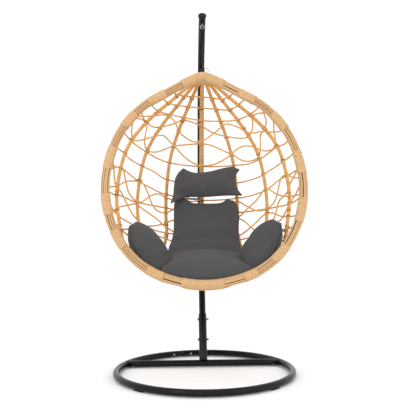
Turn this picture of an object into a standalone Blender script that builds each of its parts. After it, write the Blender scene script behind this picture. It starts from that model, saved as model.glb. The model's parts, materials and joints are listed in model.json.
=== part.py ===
"""Hanging egg chair: a wicker basket with cushions that hangs by a spring and a chain from a C-shaped stand.

Metres. +Z is up, the open front of the basket faces -Y, and the origin is on the floor under the
centre of the base ring. Every separate piece is its own object with its own material.
"""
import math

import bpy
import bmesh
from mathutils import Vector

GAP = 0.0004

# Base ring: one tube bent to a circle, closed over an inner joiner at the rear left.
RING_RADIUS = 0.4745
RING_TUBE = 0.018
RING_WALL = 0.0016
RING_STEP_DEG = 7.5
RING_SIDES = 10
PAD_HEIGHT = 0.0035
RING_Z = PAD_HEIGHT + RING_TUBE
RING_JOINT_DEG = 105.0
JOINER_SPAN_DEG = 15.0
JOINT_SCREW_DEG = 6.6

# Crossbar: a chord of the ring that carries the post socket.
BAR_Y = 0.187
BAR_TUBE = 0.0182
BAR_WALL = 0.0016
BAR_END_X = 0.4355
STUB_INNER_X = 0.345
BAR_SCREW_X = 0.398

# Post: straight in its socket, then two arcs that make the C.
LEAN = math.radians(24.0)
STRAIGHT = 0.33
POST_BACK_Y = 0.4725
ARM_END_Y = -0.020
ARM_END_Z = 1.930
POST_TUBE = 0.0190
POST_WALL = 0.0016
SOCKET_TUBE = 0.0228
SOCKET_BORE = 0.0204
SOCKET_START = 0.014
SOCKET_END = 0.286
SOCKET_BOLTS = {"lower": 0.135, "upper": 0.254}
POST_START = 0.026
JOIN_AT = 1.060
SWAGE_LENGTH = 0.095
POST_STATION = 0.070
POST_SIDES = 10

# Hanging hardware, from the eye bolt down to the basket eye.
EYE_WIRE = 0.0035
EYE_BEND = 0.009
EYE_DROP = 0.0028
BAR_WIRE = 0.002
BAR_BEND = 0.0065
COIL_RADIUS = 0.0115
COIL_WIRE = 0.0020
COIL_TOP = 1.860
COIL_BOTTOM = 1.802
COIL_TURNS = 8
LINK_WIRE = 0.002
LINK_HALF_WIDTH = 0.006
LINK_HEIGHT = 0.0309
LINK_COUNT = 5
SNAP_WIRE = 0.003
SNAP_HEIGHT = 0.046
SNAP_BEND = 0.0100
BASKET_EYE_WIRE = 0.004
BASKET_EYE_BEND = 0.012

# Basket: half the rim's outline as (half width, height), then the depth of the rim at its foot.
RIM_OUTLINE = [
    (0.000, 1.602), (0.057, 1.583), (0.110, 1.556), (0.207, 1.501), (0.299, 1.446), (0.376, 1.373),
    (0.436, 1.286), (0.476, 1.188), (0.499, 1.085), (0.505, 0.998), (0.496, 0.915), (0.471, 0.821),
    (0.422, 0.724), (0.354, 0.641), (0.263, 0.576), (0.161, 0.537), (0.070, 0.518), (0.000, 0.514),
]
RIM_TOP_Y = -0.045
RIM_FOOT_Y = -0.268
RIM_ROD = 0.005
RIM_WRAP = 0.026
RIM_WRAP_BORE = 0.0066
RIM_STEPS = 24
RIM_SIDES = 10
# Centre line of the back of the shell as (y, z), from the hub down and round to the rim's foot.
BACK_OUTLINE = [
    (-0.020, 1.592), (0.080, 1.570), (0.190, 1.495), (0.285, 1.365), (0.342, 1.200), (0.365, 1.030),
    (0.353, 0.870), (0.300, 0.715), (0.200, 0.590), (0.060, 0.515), (-0.100, 0.490), (-0.200, 0.496),
    (-0.268, 0.514),
]
RIB_TUBE = 0.0100
RIB_WALL = 0.0014
RIB_STEPS = 17
# Each rib: its bearing behind the rim at the hub and at the waist, and how far down the rim it lands,
# where 1 is the foot.
RIBS = {
    "centre": (0.0, 0.0, 1.000), "left_1": (-17.0, -24.5, 0.905), "left_2": (-32.0, -46.5, 0.840),
    "left_3": (-48.0, -67.5, 0.785), "right_1": (17.0, 24.5, 0.905), "right_2": (32.0, 46.5, 0.840),
    "right_3": (48.0, 67.5, 0.785),
}
RIB_WAIST = 0.38
RIB_DRIFT_FROM = 0.58
HUB_HALF_WIDTH = 0.052
HUB_BACK_Y = 0.036
HUB_TOP = 1.600
HUB_BOTTOM = 1.574
STRAND = 0.0030
STRAND_OFFSET = 0.0154
TIE_HEIGHT = 0.952
TIE_RADIUS = 0.0020

COLOURS = {
    "powder_coat": ((0.012, 0.011, 0.011), 0.6, 0.35),
    "zinc": ((0.55, 0.54, 0.50), 1.0, 0.35),
    "black_steel": ((0.015, 0.015, 0.018), 0.7, 0.4),
    "black_plastic": ((0.018, 0.018, 0.02), 0.0, 0.35),
    "rim_cane": ((0.77, 0.50, 0.24), 0.0, 0.55),
    "rib_cane": ((0.62, 0.31, 0.09), 0.0, 0.55),
    "weave_cane": ((0.64, 0.34, 0.12), 0.0, 0.5),
    "frame_steel": ((0.30, 0.29, 0.27), 1.0, 0.5),
    "cushion_cloth": ((0.085, 0.085, 0.087), 0.0, 0.9),
    "cord_black": ((0.02, 0.02, 0.02), 0.0, 0.7),
}


# ---------------------------------------------------------------- helpers

def clear_scene():
    for thing in list(bpy.data.objects):
        bpy.data.objects.remove(thing, do_unlink=True)


def make_material(node, colour_name):
    colour, metallic, roughness = COLOURS[colour_name]
    material = bpy.data.materials.new(node)
    material.use_nodes = True
    shader = material.node_tree.nodes["Principled BSDF"]
    shader.inputs["Base Color"].default_value = (*colour, 1.0)
    shader.inputs["Metallic"].default_value = metallic
    shader.inputs["Roughness"].default_value = roughness
    return material


def make_object(name, vertices, faces, colour_name, smooth=True):
    mesh = bpy.data.meshes.new(name)
    mesh.from_pydata([tuple(v) for v in vertices], [], faces)
    mesh.validate()
    work = bmesh.new()
    work.from_mesh(mesh)
    bmesh.ops.recalc_face_normals(work, faces=work.faces)
    if work.calc_volume(signed=True) < 0:
        bmesh.ops.reverse_faces(work, faces=work.faces)
    for face in work.faces:
        face.smooth = smooth and len(face.verts) <= 4
    work.to_mesh(mesh)
    work.free()
    mesh.materials.append(make_material(name, colour_name))
    thing = bpy.data.objects.new(name, mesh)
    bpy.context.scene.collection.objects.link(thing)
    return thing


def directions_along(points, closed=False):
    count = len(points)
    result = []
    for i in range(count):
        if closed:
            step = points[(i + 1) % count] - points[i - 1]
        elif i == 0:
            step = points[1] - points[0]
        elif i == count - 1:
            step = points[-1] - points[-2]
        else:
            step = points[i + 1] - points[i - 1]
        result.append(step.normalized())
    return result


def side_vectors(points, closed, reference):
    """One sideways vector per point: square to the path, and turning as little as possible."""
    tangents = directions_along(points, closed)
    if reference is not None:
        return tangents, [(reference - t * reference.dot(t)).normalized() for t in tangents]
    first = Vector((0, 0, 1)) if abs(tangents[0].z) < 0.9 else Vector((1, 0, 0))
    side = (first - tangents[0] * first.dot(tangents[0])).normalized()
    sides = [side]
    for i in range(1, len(points)):
        turn = tangents[i - 1].rotation_difference(tangents[i])
        side = turn @ side
        side = (side - tangents[i] * side.dot(tangents[i])).normalized()
        sides.append(side)
    return tangents, sides


def ring_vertices(centre, tangent, side, radius, sides):
    other = tangent.cross(side)
    result = []
    for k in range(sides):
        angle = 2 * math.pi * k / sides
        result.append(centre + (side * math.cos(angle) + other * math.sin(angle)) * radius)
    return result


def sweep(name, points, radius, sides, colour_name, closed=False, bore=None, reference=None, ends=None):
    """A round bar along a path, or a tube with open ends when bore is given."""
    points = [Vector(p) for p in points]
    count = len(points)
    tangents, side_list = side_vectors(points, closed, reference)
    if ends is not None:
        tangents[0], tangents[-1] = ends
        for i in (0, count - 1):
            side_list[i] = (reference - tangents[i] * reference.dot(tangents[i])).normalized()
    outer = radius if isinstance(radius, list) else [radius] * count
    inner = None
    if bore is not None:
        inner = bore if isinstance(bore, list) else [bore] * count
    vertices = []
    faces = []
    for i in range(count):
        vertices += ring_vertices(points[i], tangents[i], side_list[i], outer[i], sides)
    spans = count if closed else count - 1
    for i in range(spans):
        a = i * sides
        b = ((i + 1) % count) * sides
        for k in range(sides):
            n = (k + 1) % sides
            faces.append((a + k, a + n, b + n, b + k))
    if inner:
        base = len(vertices)
        for i in range(count):
            vertices += ring_vertices(points[i], tangents[i], side_list[i], inner[i], sides)
        for i in range(spans):
            a = base + i * sides
            b = base + (i + 1) * sides
            for k in range(sides):
                n = (k + 1) % sides
                faces.append((a + k, b + k, b + n, a + n))
        last = (count - 1) * sides
        for k in range(sides):
            n = (k + 1) % sides
            faces.append((k, base + k, base + n, n))
            faces.append((last + k, last + n, base + last + n, base + last + k))
    elif not closed:
        last = (count - 1) * sides
        faces.append(tuple(range(sides - 1, -1, -1)))
        faces.append(tuple(last + k for k in range(sides)))
    return make_object(name, vertices, faces, colour_name)


def turned(name, start, direction, stations, colour_name, sides=12):
    """A turned piece. Each station is (distance along the axis, radius, True where it is a hexagon)."""
    start = Vector(start)
    direction = Vector(direction).normalized()
    first = Vector((0, 0, 1)) if abs(direction.z) < 0.9 else Vector((1, 0, 0))
    side = (first - direction * first.dot(direction)).normalized()
    other = direction.cross(side)
    vertices = []
    faces = []
    for along, radius, hexagon in stations:
        for k in range(sides):
            angle = 2 * math.pi * k / sides
            reach = radius
            if hexagon and k % 2:
                reach = radius * math.cos(math.pi / 6)
            spoke = side * math.cos(angle) + other * math.sin(angle)
            vertices.append(start + direction * along + spoke * reach)
    for i in range(len(stations) - 1):
        for k in range(sides):
            n = (k + 1) % sides
            faces.append((i * sides + k, i * sides + n, (i + 1) * sides + n, (i + 1) * sides + k))
    last = (len(stations) - 1) * sides
    faces.append(tuple(range(sides - 1, -1, -1)))
    faces.append(tuple(last + k for k in range(sides)))
    return make_object(name, vertices, faces, colour_name)


def nut(name, start, direction, height, across, bore, colour_name):
    """A hexagon nut with a round bore."""
    thing = turned(name, start, direction, [(0, across, True), (height, across, True)], colour_name)
    start = Vector(start)
    direction = Vector(direction).normalized()
    cutter = turned("cutter", start - direction * 0.01, direction,
                    [(0, bore, False), (height + 0.02, bore, False)],
                    colour_name)
    combine(thing, cutter, "DIFFERENCE")
    return thing


def combine(thing, tool, operation):
    """Cut or join with another solid, which is used up."""
    modifier = thing.modifiers.new("shape", "BOOLEAN")
    modifier.operation = operation
    modifier.solver = "EXACT"
    modifier.object = tool
    bpy.context.view_layer.update()
    graph = bpy.context.evaluated_depsgraph_get()
    mesh = bpy.data.meshes.new_from_object(thing.evaluated_get(graph))
    thing.modifiers.clear()
    thing.data = mesh
    bpy.data.objects.remove(tool, do_unlink=True)


def drill(thing, start, direction, length, radius, sides=12):
    """A round hole whose flats, not its corners, reach the stated radius."""
    reach = radius / math.cos(math.pi / sides)
    cutter = turned("cutter", start, direction, [(0, reach, False), (length, reach, False)], "zinc", sides)
    combine(thing, cutter, "DIFFERENCE")


def curve_through(points, count):
    """A smooth curve through the points, as evenly spaced points along its length."""
    points = [Vector(p) for p in points]
    padded = [points[0] * 2 - points[1]] + points + [points[-1] * 2 - points[-2]]
    dense = []
    for i in range(1, len(padded) - 2):
        a, b, c, d = padded[i - 1], padded[i], padded[i + 1], padded[i + 2]
        for k in range(24):
            s = k / 24
            dense.append(0.5 * ((2 * b) + (c - a) * s + (2 * a - 5 * b + 4 * c - d) * s * s
                                + (3 * b - a - 3 * c + d) * s * s * s))
    dense.append(padded[-2].copy())
    return even_points(dense, count)


def even_points(dense, count):
    lengths = [0.0]
    for a, b in zip(dense, dense[1:]):
        lengths.append(lengths[-1] + (b - a).length)
    result = []
    at = 0
    for k in range(count):
        target = lengths[-1] * k / (count - 1)
        while at < len(dense) - 2 and lengths[at + 1] < target:
            at += 1
        span = lengths[at + 1] - lengths[at]
        s = 0.0 if span == 0 else (target - lengths[at]) / span
        result.append(dense[at].lerp(dense[at + 1], min(1.0, max(0.0, s))))
    return result


# ---------------------------------------------------------------- stand

def ring_point(degrees, radius=RING_RADIUS, z=RING_Z):
    angle = math.radians(degrees)
    return Vector((radius * math.cos(angle), radius * math.sin(angle), z))


def ring_path(start_deg, end_deg):
    steps = round((end_deg - start_deg) / RING_STEP_DEG)
    return [ring_point(start_deg + (end_deg - start_deg) * k / steps) for k in range(steps + 1)]


def ring_cutter():
    """The base ring a little fatter, to cope the ends that meet it."""
    reach = (RING_TUBE + GAP) / math.cos(math.pi / RING_SIDES)
    points = ring_path(RING_JOINT_DEG, RING_JOINT_DEG + 360)[:-1]
    return sweep("cutter", points, reach, RING_SIDES, "zinc", closed=True, reference=Vector((0, 0, 1)))


def build_base():
    trim = math.degrees(GAP / RING_RADIUS)
    path = ring_path(RING_JOINT_DEG, RING_JOINT_DEG + 360)
    path[0] = ring_point(RING_JOINT_DEG + trim)
    path[-1] = ring_point(RING_JOINT_DEG - trim)
    ring = sweep("base_ring", path, RING_TUBE, RING_SIDES, "powder_coat", bore=RING_TUBE - RING_WALL,
                 reference=Vector((0, 0, 1)))
    joiner_path = ring_path(RING_JOINT_DEG - JOINER_SPAN_DEG, RING_JOINT_DEG + JOINER_SPAN_DEG)
    joiner = sweep("ring_joiner", joiner_path, RING_TUBE - RING_WALL - GAP, RING_SIDES, "frame_steel",
                   bore=RING_TUBE - RING_WALL - GAP - 0.002, reference=Vector((0, 0, 1)))
    for letter, turn in (("left", JOINT_SCREW_DEG), ("right", -JOINT_SCREW_DEG)):
        degrees = RING_JOINT_DEG + turn
        outward = ring_point(degrees, 1.0, 0.0)
        outward.z = 0.0
        outward.normalize()
        seat = ring_point(degrees, RING_RADIUS - RING_TUBE - 2.5 * GAP)
        for thing in (ring, joiner):
            drill(thing, seat - outward * 0.004, outward, 0.018, 0.0030)
        turned("ring_joint_screw_" + letter, seat - outward * 0.004, outward,
               [(0, 0.0035, False), (0.0015, 0.0062, False), (0.004, 0.0066, False), (0.004, 0.0026, False),
                (0.012, 0.0026, False)], "zinc")
    bar = sweep("crossbar", [(-BAR_END_X, BAR_Y, RING_Z), (BAR_END_X, BAR_Y, RING_Z)], BAR_TUBE, 12,
                "powder_coat",
                bore=BAR_TUBE - BAR_WALL, reference=Vector((0, 0, 1)))
    combine(bar, ring_cutter(), "DIFFERENCE")
    for side, sign in (("left", -1), ("right", 1)):
        stub = sweep("crossbar_stub_" + side, [(sign * BAR_END_X, BAR_Y, RING_Z),
                                               (sign * STUB_INNER_X, BAR_Y, RING_Z)],
                     BAR_TUBE - BAR_WALL - GAP, 12, "frame_steel", bore=BAR_TUBE - BAR_WALL - GAP - 0.0025,
                     reference=Vector((0, 0, 1)))
        combine(stub, ring_cutter(), "DIFFERENCE")
        inward = Vector((0, math.cos(math.radians(40)), math.sin(math.radians(40))))
        seat = Vector((sign * BAR_SCREW_X, BAR_Y, RING_Z)) - inward * (BAR_TUBE + GAP)
        for thing in (bar, stub):
            drill(thing, seat - inward * 0.004, inward, 0.016, 0.0030)
        turned("crossbar_screw_" + side, seat - inward * 0.0045, inward,
               [(0, 0.0035, False), (0.0015, 0.0064, False), (0.0045, 0.0068, False),
                (0.0045, 0.0026, False),
                (0.012, 0.0026, False)], "zinc")
    for name, degrees in (("front_left", 225), ("front_right", 315), ("rear_left", 140),
                          ("rear_right", 40)):
        build_pad("floor_pad_" + name, degrees)


def build_pad(name, middle_deg):
    """A thin glide under the ring, curved like it, flat on the floor."""
    half_width = 0.009
    rows = []
    for k in range(5):
        degrees = middle_deg - 4 + 2 * k
        inner = ring_point(degrees, RING_RADIUS - half_width, 0.0)
        outer = ring_point(degrees, RING_RADIUS + half_width, 0.0)
        up = Vector((0, 0, PAD_HEIGHT - 0.0003))
        rows.append([inner, outer, outer + up, inner + up])
    vertices = [v for row in rows for v in row]
    faces = [(3, 2, 1, 0), (16, 17, 18, 19)]
    for i in range(4):
        for k in range(4):
            n = (k + 1) % 4
            faces.append((i * 4 + k, i * 4 + n, i * 4 + 4 + n, i * 4 + 4 + k))
    make_object(name, vertices, faces, "black_plastic", smooth=False)


LOWER_START = Vector((0, BAR_Y + STRAIGHT * math.sin(LEAN), RING_Z + STRAIGHT * math.cos(LEAN)))
LOWER_BEND = (POST_BACK_Y - LOWER_START.y) / (1 - math.cos(LEAN))
BACK_Z = LOWER_START.z + LOWER_BEND * math.sin(LEAN)
UPPER_TURN = 2 * math.atan((POST_BACK_Y - ARM_END_Y) / (ARM_END_Z - BACK_Z))
UPPER_BEND = (ARM_END_Z - BACK_Z) / math.sin(UPPER_TURN)
LOWER_LENGTH = STRAIGHT + LOWER_BEND * LEAN
POST_LENGTH = LOWER_LENGTH + UPPER_BEND * UPPER_TURN


def post_point(s):
    """Centre line of the post, s metres along it from the middle of the crossbar."""
    if s <= STRAIGHT:
        return Vector((0, BAR_Y + s * math.sin(LEAN), RING_Z + s * math.cos(LEAN)))
    if s <= LOWER_LENGTH:
        angle = LEAN - (s - STRAIGHT) / LOWER_BEND
        return Vector((0, POST_BACK_Y - LOWER_BEND * (1 - math.cos(angle)),
                       BACK_Z - LOWER_BEND * math.sin(angle)))
    angle = (s - LOWER_LENGTH) / UPPER_BEND
    return Vector((0, POST_BACK_Y - UPPER_BEND * (1 - math.cos(angle)),
                   BACK_Z + UPPER_BEND * math.sin(angle)))


def post_stations(start, end):
    stations = [start]
    k = math.ceil(start / POST_STATION)
    while k * POST_STATION < end - 0.004:
        if k * POST_STATION > start + 0.004:
            stations.append(k * POST_STATION)
        k += 1
    stations.append(end)
    return stations


def build_post():
    across = Vector((1, 0, 0))
    up = Vector((0, math.sin(LEAN), math.cos(LEAN)))
    foot = Vector((0, BAR_Y, RING_Z))
    socket = sweep("post_socket", [foot + up * SOCKET_START, foot + up * SOCKET_END], SOCKET_TUBE,
                   POST_SIDES,
                   "powder_coat", bore=SOCKET_BORE, reference=across)
    reach = (BAR_TUBE + GAP) / math.cos(math.pi / 12)
    cutter = sweep("cutter", [(-0.05, BAR_Y, RING_Z), (0.05, BAR_Y, RING_Z)], reach, 12, "zinc",
                   reference=Vector((0, 0, 1)))
    combine(socket, cutter, "DIFFERENCE")
    lower = sweep("lower_post", [post_point(s) for s in post_stations(POST_START, JOIN_AT)], POST_TUBE,
                  POST_SIDES,
                  "powder_coat", bore=POST_TUBE - POST_WALL, reference=across)
    for level, s in SOCKET_BOLTS.items():
        middle = foot + up * s
        for thing in (socket, lower):
            drill(thing, middle - across * 0.03, across, 0.06, 0.0044)
        head = SOCKET_TUBE + GAP
        turned("socket_bolt_" + level, middle - across * (head + 0.0075), across,
               [(0, 0.0072, True), (0.0055, 0.0078, True), (0.0055, 0.0088, False), (0.0075, 0.0088, False),
                (0.0075, 0.0040, False), (2 * head + 0.0205, 0.0040, False)], "zinc")
        nut("socket_nut_" + level, middle + across * head, across, 0.007, 0.0078, 0.0044, "zinc")
    swage_start = JOIN_AT - SWAGE_LENGTH
    stations = post_stations(swage_start, JOIN_AT) + post_stations(JOIN_AT + 0.0008, POST_LENGTH)
    slim = POST_TUBE - POST_WALL - GAP
    outer = [slim if s <= JOIN_AT else POST_TUBE for s in stations]
    inner = [r - POST_WALL for r in outer]
    upper = sweep("upper_post", [post_point(s) for s in stations], outer, POST_SIDES, "powder_coat",
                  bore=inner,
                  reference=across)
    screw_at = post_point(JOIN_AT - 0.045)
    inward = Vector((0, -1, 0))
    seat = screw_at - inward * (POST_TUBE + GAP)
    for thing in (lower, upper):
        drill(thing, seat - inward * 0.004, inward, 0.016, 0.0030)
    turned("post_joint_screw", seat - inward * 0.0022, inward,
           [(0, 0.0040, False), (0.0022, 0.0066, False), (0.0022, 0.0026, False), (0.011, 0.0026, False)],
           "zinc")
    end = post_point(POST_LENGTH)
    along = (end - post_point(POST_LENGTH - 0.002)).normalized()
    plug = POST_TUBE - POST_WALL - 0.0011
    turned("arm_end_cap", end - along * 0.007, along,
           [(0, plug, False), (0.0074, plug, False), (0.0074, 0.0216, False), (0.0095, 0.0226, False),
            (0.0125, 0.0226, False), (0.0155, 0.0198, False), (0.0175, 0.0138, False),
            (0.0183, 0.0060, False)],
           "black_plastic", sides=16)
    build_eye_bolt(upper)


def arm_under_axis():
    """Height of the arm's centre line over the hang axis, and the vertical half thickness there."""
    angle = math.acos(1 - POST_BACK_Y / UPPER_BEND)
    return BACK_Z + UPPER_BEND * math.sin(angle), POST_TUBE / math.sin(angle)


def build_eye_bolt(arm):
    centre_z, half = arm_under_axis()
    eye_z = centre_z - half - EYE_BEND - EYE_WIRE - EYE_DROP
    drill(arm, (0, 0, centre_z - half - 0.012), (0, 0, 1), 2 * half + 0.03, 0.0034)
    seat = centre_z + half + 0.0052
    ring_points = []
    for k in range(16):
        angle = 2 * math.pi * k / 16
        ring_points.append((EYE_BEND * math.cos(angle), 0, eye_z + EYE_BEND * math.sin(angle)))
    eye = sweep("eye_bolt", ring_points, EYE_WIRE, 8, "zinc", closed=True, reference=Vector((0, 1, 0)))
    shank = turned("cutter", (0, 0, eye_z + EYE_BEND - 0.001), (0, 0, 1),
                   [(0, 0.0030, False), (seat + 0.0085 - eye_z - EYE_BEND + 0.001, 0.0030, False)], "zinc",
                   sides=8)
    combine(eye, shank, "UNION")
    nut("eye_bolt_nut", (0, 0, seat), (0, 0, 1), 0.0055, 0.0066, 0.0035, "zinc")
    return eye_z


# ---------------------------------------------------------------- hanging hardware

def eye_centre_z():
    centre_z, half = arm_under_axis()
    return centre_z - half - EYE_BEND - EYE_WIRE - EYE_DROP


def hanger_heights():
    """Heights of the wire centres, from the top of the upper draw bar down to the basket eye."""
    top = eye_centre_z() - EYE_BEND + EYE_WIRE + BAR_WIRE + 0.0003
    low_loop = COIL_BOTTOM - 0.0185
    link_top = low_loop + BAR_WIRE + LINK_WIRE + 0.0003
    step = LINK_HEIGHT - 2 * LINK_WIRE - 0.0003
    tops = [link_top - step * k for k in range(LINK_COUNT)]
    snap_top = tops[-1] - LINK_HEIGHT + LINK_WIRE + SNAP_WIRE + 0.0003
    snap_bottom = snap_top - SNAP_HEIGHT
    basket_eye_top = snap_bottom + SNAP_WIRE + BASKET_EYE_WIRE + 0.0003
    return {"bar_top": top, "bar_low": low_loop, "links": tops, "snap_top": snap_top,
            "snap_bottom": snap_bottom, "basket_eye": basket_eye_top}


def draw_bar(name, loop_z, foot_z, direction, plane):
    """A hairpin wire: a round loop at loop_z, two legs to foot_z, and feet bent outwards."""
    path = [(BAR_BEND + 0.0050, foot_z), (BAR_BEND + 0.0022, foot_z),
            (BAR_BEND + 0.0006, foot_z + direction * 0.0012),
            (BAR_BEND, foot_z + direction * 0.0034)]
    centre = loop_z - direction * BAR_BEND
    for k in range(9):
        angle = math.pi * k / 8
        path.append((BAR_BEND * math.cos(angle), centre + direction * BAR_BEND * math.sin(angle)))
    path += [(-a, b) for a, b in reversed(path[:4])]
    points = [(a, 0, b) if plane == "x" else (0, a, b) for a, b in path]
    reference = Vector((0, 1, 0)) if plane == "x" else Vector((1, 0, 0))
    return sweep(name, points, BAR_WIRE, 6, "black_steel", reference=reference)


def chain_link(name, top_z, plane):
    points = []
    high = top_z - LINK_HALF_WIDTH
    low = top_z - LINK_HEIGHT + LINK_HALF_WIDTH
    for k in range(7):
        angle = math.pi * k / 6
        points.append((LINK_HALF_WIDTH * math.cos(angle), high + LINK_HALF_WIDTH * math.sin(angle)))
    for k in range(7):
        angle = math.pi + math.pi * k / 6
        points.append((LINK_HALF_WIDTH * math.cos(angle), low + LINK_HALF_WIDTH * math.sin(angle)))
    reference = Vector((0, 1, 0)) if plane == "x" else Vector((1, 0, 0))
    path = [(a, 0, b) if plane == "x" else (0, a, b) for a, b in points]
    return sweep(name, path, LINK_WIRE, 6, "black_steel", closed=True, reference=reference)


def build_hanger():
    heights = hanger_heights()
    draw_bar("spring_bar_upper", heights["bar_top"], COIL_BOTTOM - BAR_WIRE - GAP, 1, "y")
    draw_bar("spring_bar_lower", heights["bar_low"], COIL_TOP + BAR_WIRE + GAP, -1, "x")
    coil = []
    samples = COIL_TURNS * 10
    rise = COIL_TOP - COIL_BOTTOM - 2 * COIL_WIRE
    for k in range(samples + 1):
        angle = 2 * math.pi * k / 10 + 0.4
        coil.append((COIL_RADIUS * math.cos(angle), COIL_RADIUS * math.sin(angle),
                     COIL_BOTTOM + COIL_WIRE + rise * k / samples))
    sweep("spring_coil", coil, COIL_WIRE, 4, "black_steel", reference=Vector((0, 0, 1)))
    for k, top in enumerate(heights["links"]):
        chain_link("chain_link_%d" % (k + 1), top, "y" if k % 2 == 0 else "x")
    build_snap_hook(heights)


def build_snap_hook(heights):
    """A snap hook: a bent wire open on the right, and a sprung gate that closes the opening."""
    top = heights["snap_top"]
    bottom = heights["snap_bottom"]
    wide = SNAP_BEND
    high = top - wide
    low = bottom + wide
    path = []
    for k in range(1, 9):
        angle = math.radians(8 + 172 * k / 8)
        path.append((wide * math.cos(angle), 0, high + wide * math.sin(angle)))
    path.insert(0, (wide * math.cos(math.radians(14)), 0, high + wide * math.sin(math.radians(14))))
    for k in range(9):
        angle = math.pi + math.radians(172 * k / 8)
        path.append((wide * math.cos(angle), 0, low + wide * math.sin(angle)))
    sweep("snap_hook", path, SNAP_WIRE, 8, "black_steel", reference=Vector((0, 1, 0)))
    gate_low = low + 0.0012
    gate_high = high - 0.0006
    sweep("snap_hook_gate", [(wide, 0, gate_low), (wide, 0, gate_low + 0.004), (wide, 0, gate_high - 0.003),
                             (wide, 0, gate_high)], [0.0022, 0.0026, 0.0026, 0.0022], 8, "black_steel",
          reference=Vector((0, 1, 0)))
    tie = curve_through([(0.0070, -0.0043, top - 0.0030), (0.0120, -0.0100, top - 0.0010),
                         (0.0200, -0.0180, top - 0.0035),
                         (0.0290, -0.0270, top - 0.0140), (0.0330, -0.0330, top - 0.0240)], 9)
    sweep("cable_tie", tie, 0.0008, 5, "black_plastic")


# ---------------------------------------------------------------- basket

def rim_depth(z):
    top = RIM_OUTLINE[0][1]
    foot = RIM_OUTLINE[-1][1]
    s = min(1.0, max(0.0, (top - z) / (top - foot)))
    return RIM_TOP_Y + (RIM_FOOT_Y - RIM_TOP_Y) * (1 - (1 - s) ** 2.2)


def rim_half(count):
    """The right half of the rim's centre line, from the apex to the foot, as evenly spaced points."""
    before = (-RIM_OUTLINE[1][0], RIM_OUTLINE[1][1])
    after = (-RIM_OUTLINE[-2][0], RIM_OUTLINE[-2][1])
    outline = [before] + RIM_OUTLINE + [after]
    dense = []
    for i in range(1, len(outline) - 2):
        a, b, c, d = [Vector((x, z, 0)) for x, z in outline[i - 1:i + 3]]
        for k in range(24):
            s = k / 24
            p = 0.5 * ((2 * b) + (c - a) * s + (2 * a - 5 * b + 4 * c - d) * s * s
                       + (3 * b - a - 3 * c + d) * s ** 3)
            dense.append(Vector((p.x, rim_depth(p.y), p.y)))
    dense.append(Vector((0, rim_depth(outline[-2][1]), outline[-2][1])))
    return even_points(dense, count)


RIM_FINE = rim_half(401)
BACK_FINE = curve_through([(0, y, z) for y, z in BACK_OUTLINE], 401)


def pick(points, t):
    at = min(1.0, max(0.0, t)) * (len(points) - 1)
    k = min(int(at), len(points) - 2)
    return points[k].lerp(points[k + 1], at - k)


def shell_point(bearing_deg, t):
    """The shell of the basket: bearing 0 is straight back, 90 is the right rim; t runs from hub to foot."""
    rim = pick(RIM_FINE, t)
    back = pick(BACK_FINE, t)
    angle = math.radians(bearing_deg)
    c = math.cos(angle)
    return Vector((rim.x * math.sin(angle), rim.y + (back.y - rim.y) * c, rim.z + (back.z - rim.z) * c))


def shell_outward(bearing_deg, t):
    a = shell_point(bearing_deg + 1.0, t) - shell_point(bearing_deg - 1.0, t)
    b = shell_point(bearing_deg, min(1.0, t + 0.004)) - shell_point(bearing_deg, max(0.0, t - 0.004))
    normal = a.cross(b).normalized()
    middle = Vector((0, -0.05, 1.0))
    if normal.dot(shell_point(bearing_deg, t) - middle) < 0:
        normal = -normal
    return normal


def distance_to_rim(point):
    mirrored = Vector((abs(point.x), point.y, point.z))
    return min((mirrored - p).length for p in RIM_FINE[::2])


def rib_bearing(name, t):
    hub, waist, landing = RIBS[name]
    s = min(1.0, t / RIB_WAIST)
    bearing = hub + (waist - hub) * s * s * (3 - 2 * s)
    if waist == 0.0 or t <= RIB_DRIFT_FROM:
        return bearing
    s = min(1.0, (t - RIB_DRIFT_FROM) / (landing - RIB_DRIFT_FROM))
    return bearing + (math.copysign(90.0, waist) - waist) * s * s * (1.25 - 0.25 * s)


def rib_path(name):
    """From just behind the hub to just short of the rim."""
    landing = RIBS[name][2]
    dense = []
    for k in range(600):
        t = 0.01 + (landing - 0.01) * k / 599
        dense.append(shell_point(rib_bearing(name, t), t))
    clear_rim = RIM_WRAP + RIB_TUBE * 0.62 + GAP
    usable = []
    for point in dense:
        flat = Vector((point.x * HUB_BACK_Y / HUB_HALF_WIDTH, point.y + 0.016, 0))
        off_hub = flat.length > 0.0585 or point.z < 1.52
        if off_hub and distance_to_rim(point) > clear_rim:
            usable.append(point)
        elif usable and point.z < 1.2:
            break
    return even_points(usable, RIB_STEPS)


def on_layer(bearing_deg, t, layer):
    return shell_point(bearing_deg, t) + shell_outward(bearing_deg, t) * STRAND_OFFSET * layer


def widest_bearing(t, layer):
    """The bearing at which a cane just touches the wrapped rim."""
    low = 55.0
    high = 89.0
    for _ in range(14):
        middle = (low + high) / 2
        if distance_to_rim(on_layer(middle, t, layer)) > RIM_WRAP + STRAND + 2.5 * GAP:
            low = middle
        else:
            high = middle
    return low


def strand_path(name):
    layer, route = STRANDS[name]
    flat = curve_through([(bearing / 90.0, t, 0) for bearing, t in route], 3 * STRAND_STEPS)
    limits = [widest_bearing(0.10 + 0.02 * k, layer) for k in range(38)]
    points = []
    for p in flat:
        at = (p.y - 0.10) / 0.02
        k = min(36, max(0, int(at)))
        limit = limits[k] + (limits[k + 1] - limits[k]) * (at - k)
        points.append(on_layer(min(limit, max(-limit, p.x * 90.0)), p.y, layer))
    return even_points(points, STRAND_STEPS)


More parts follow.
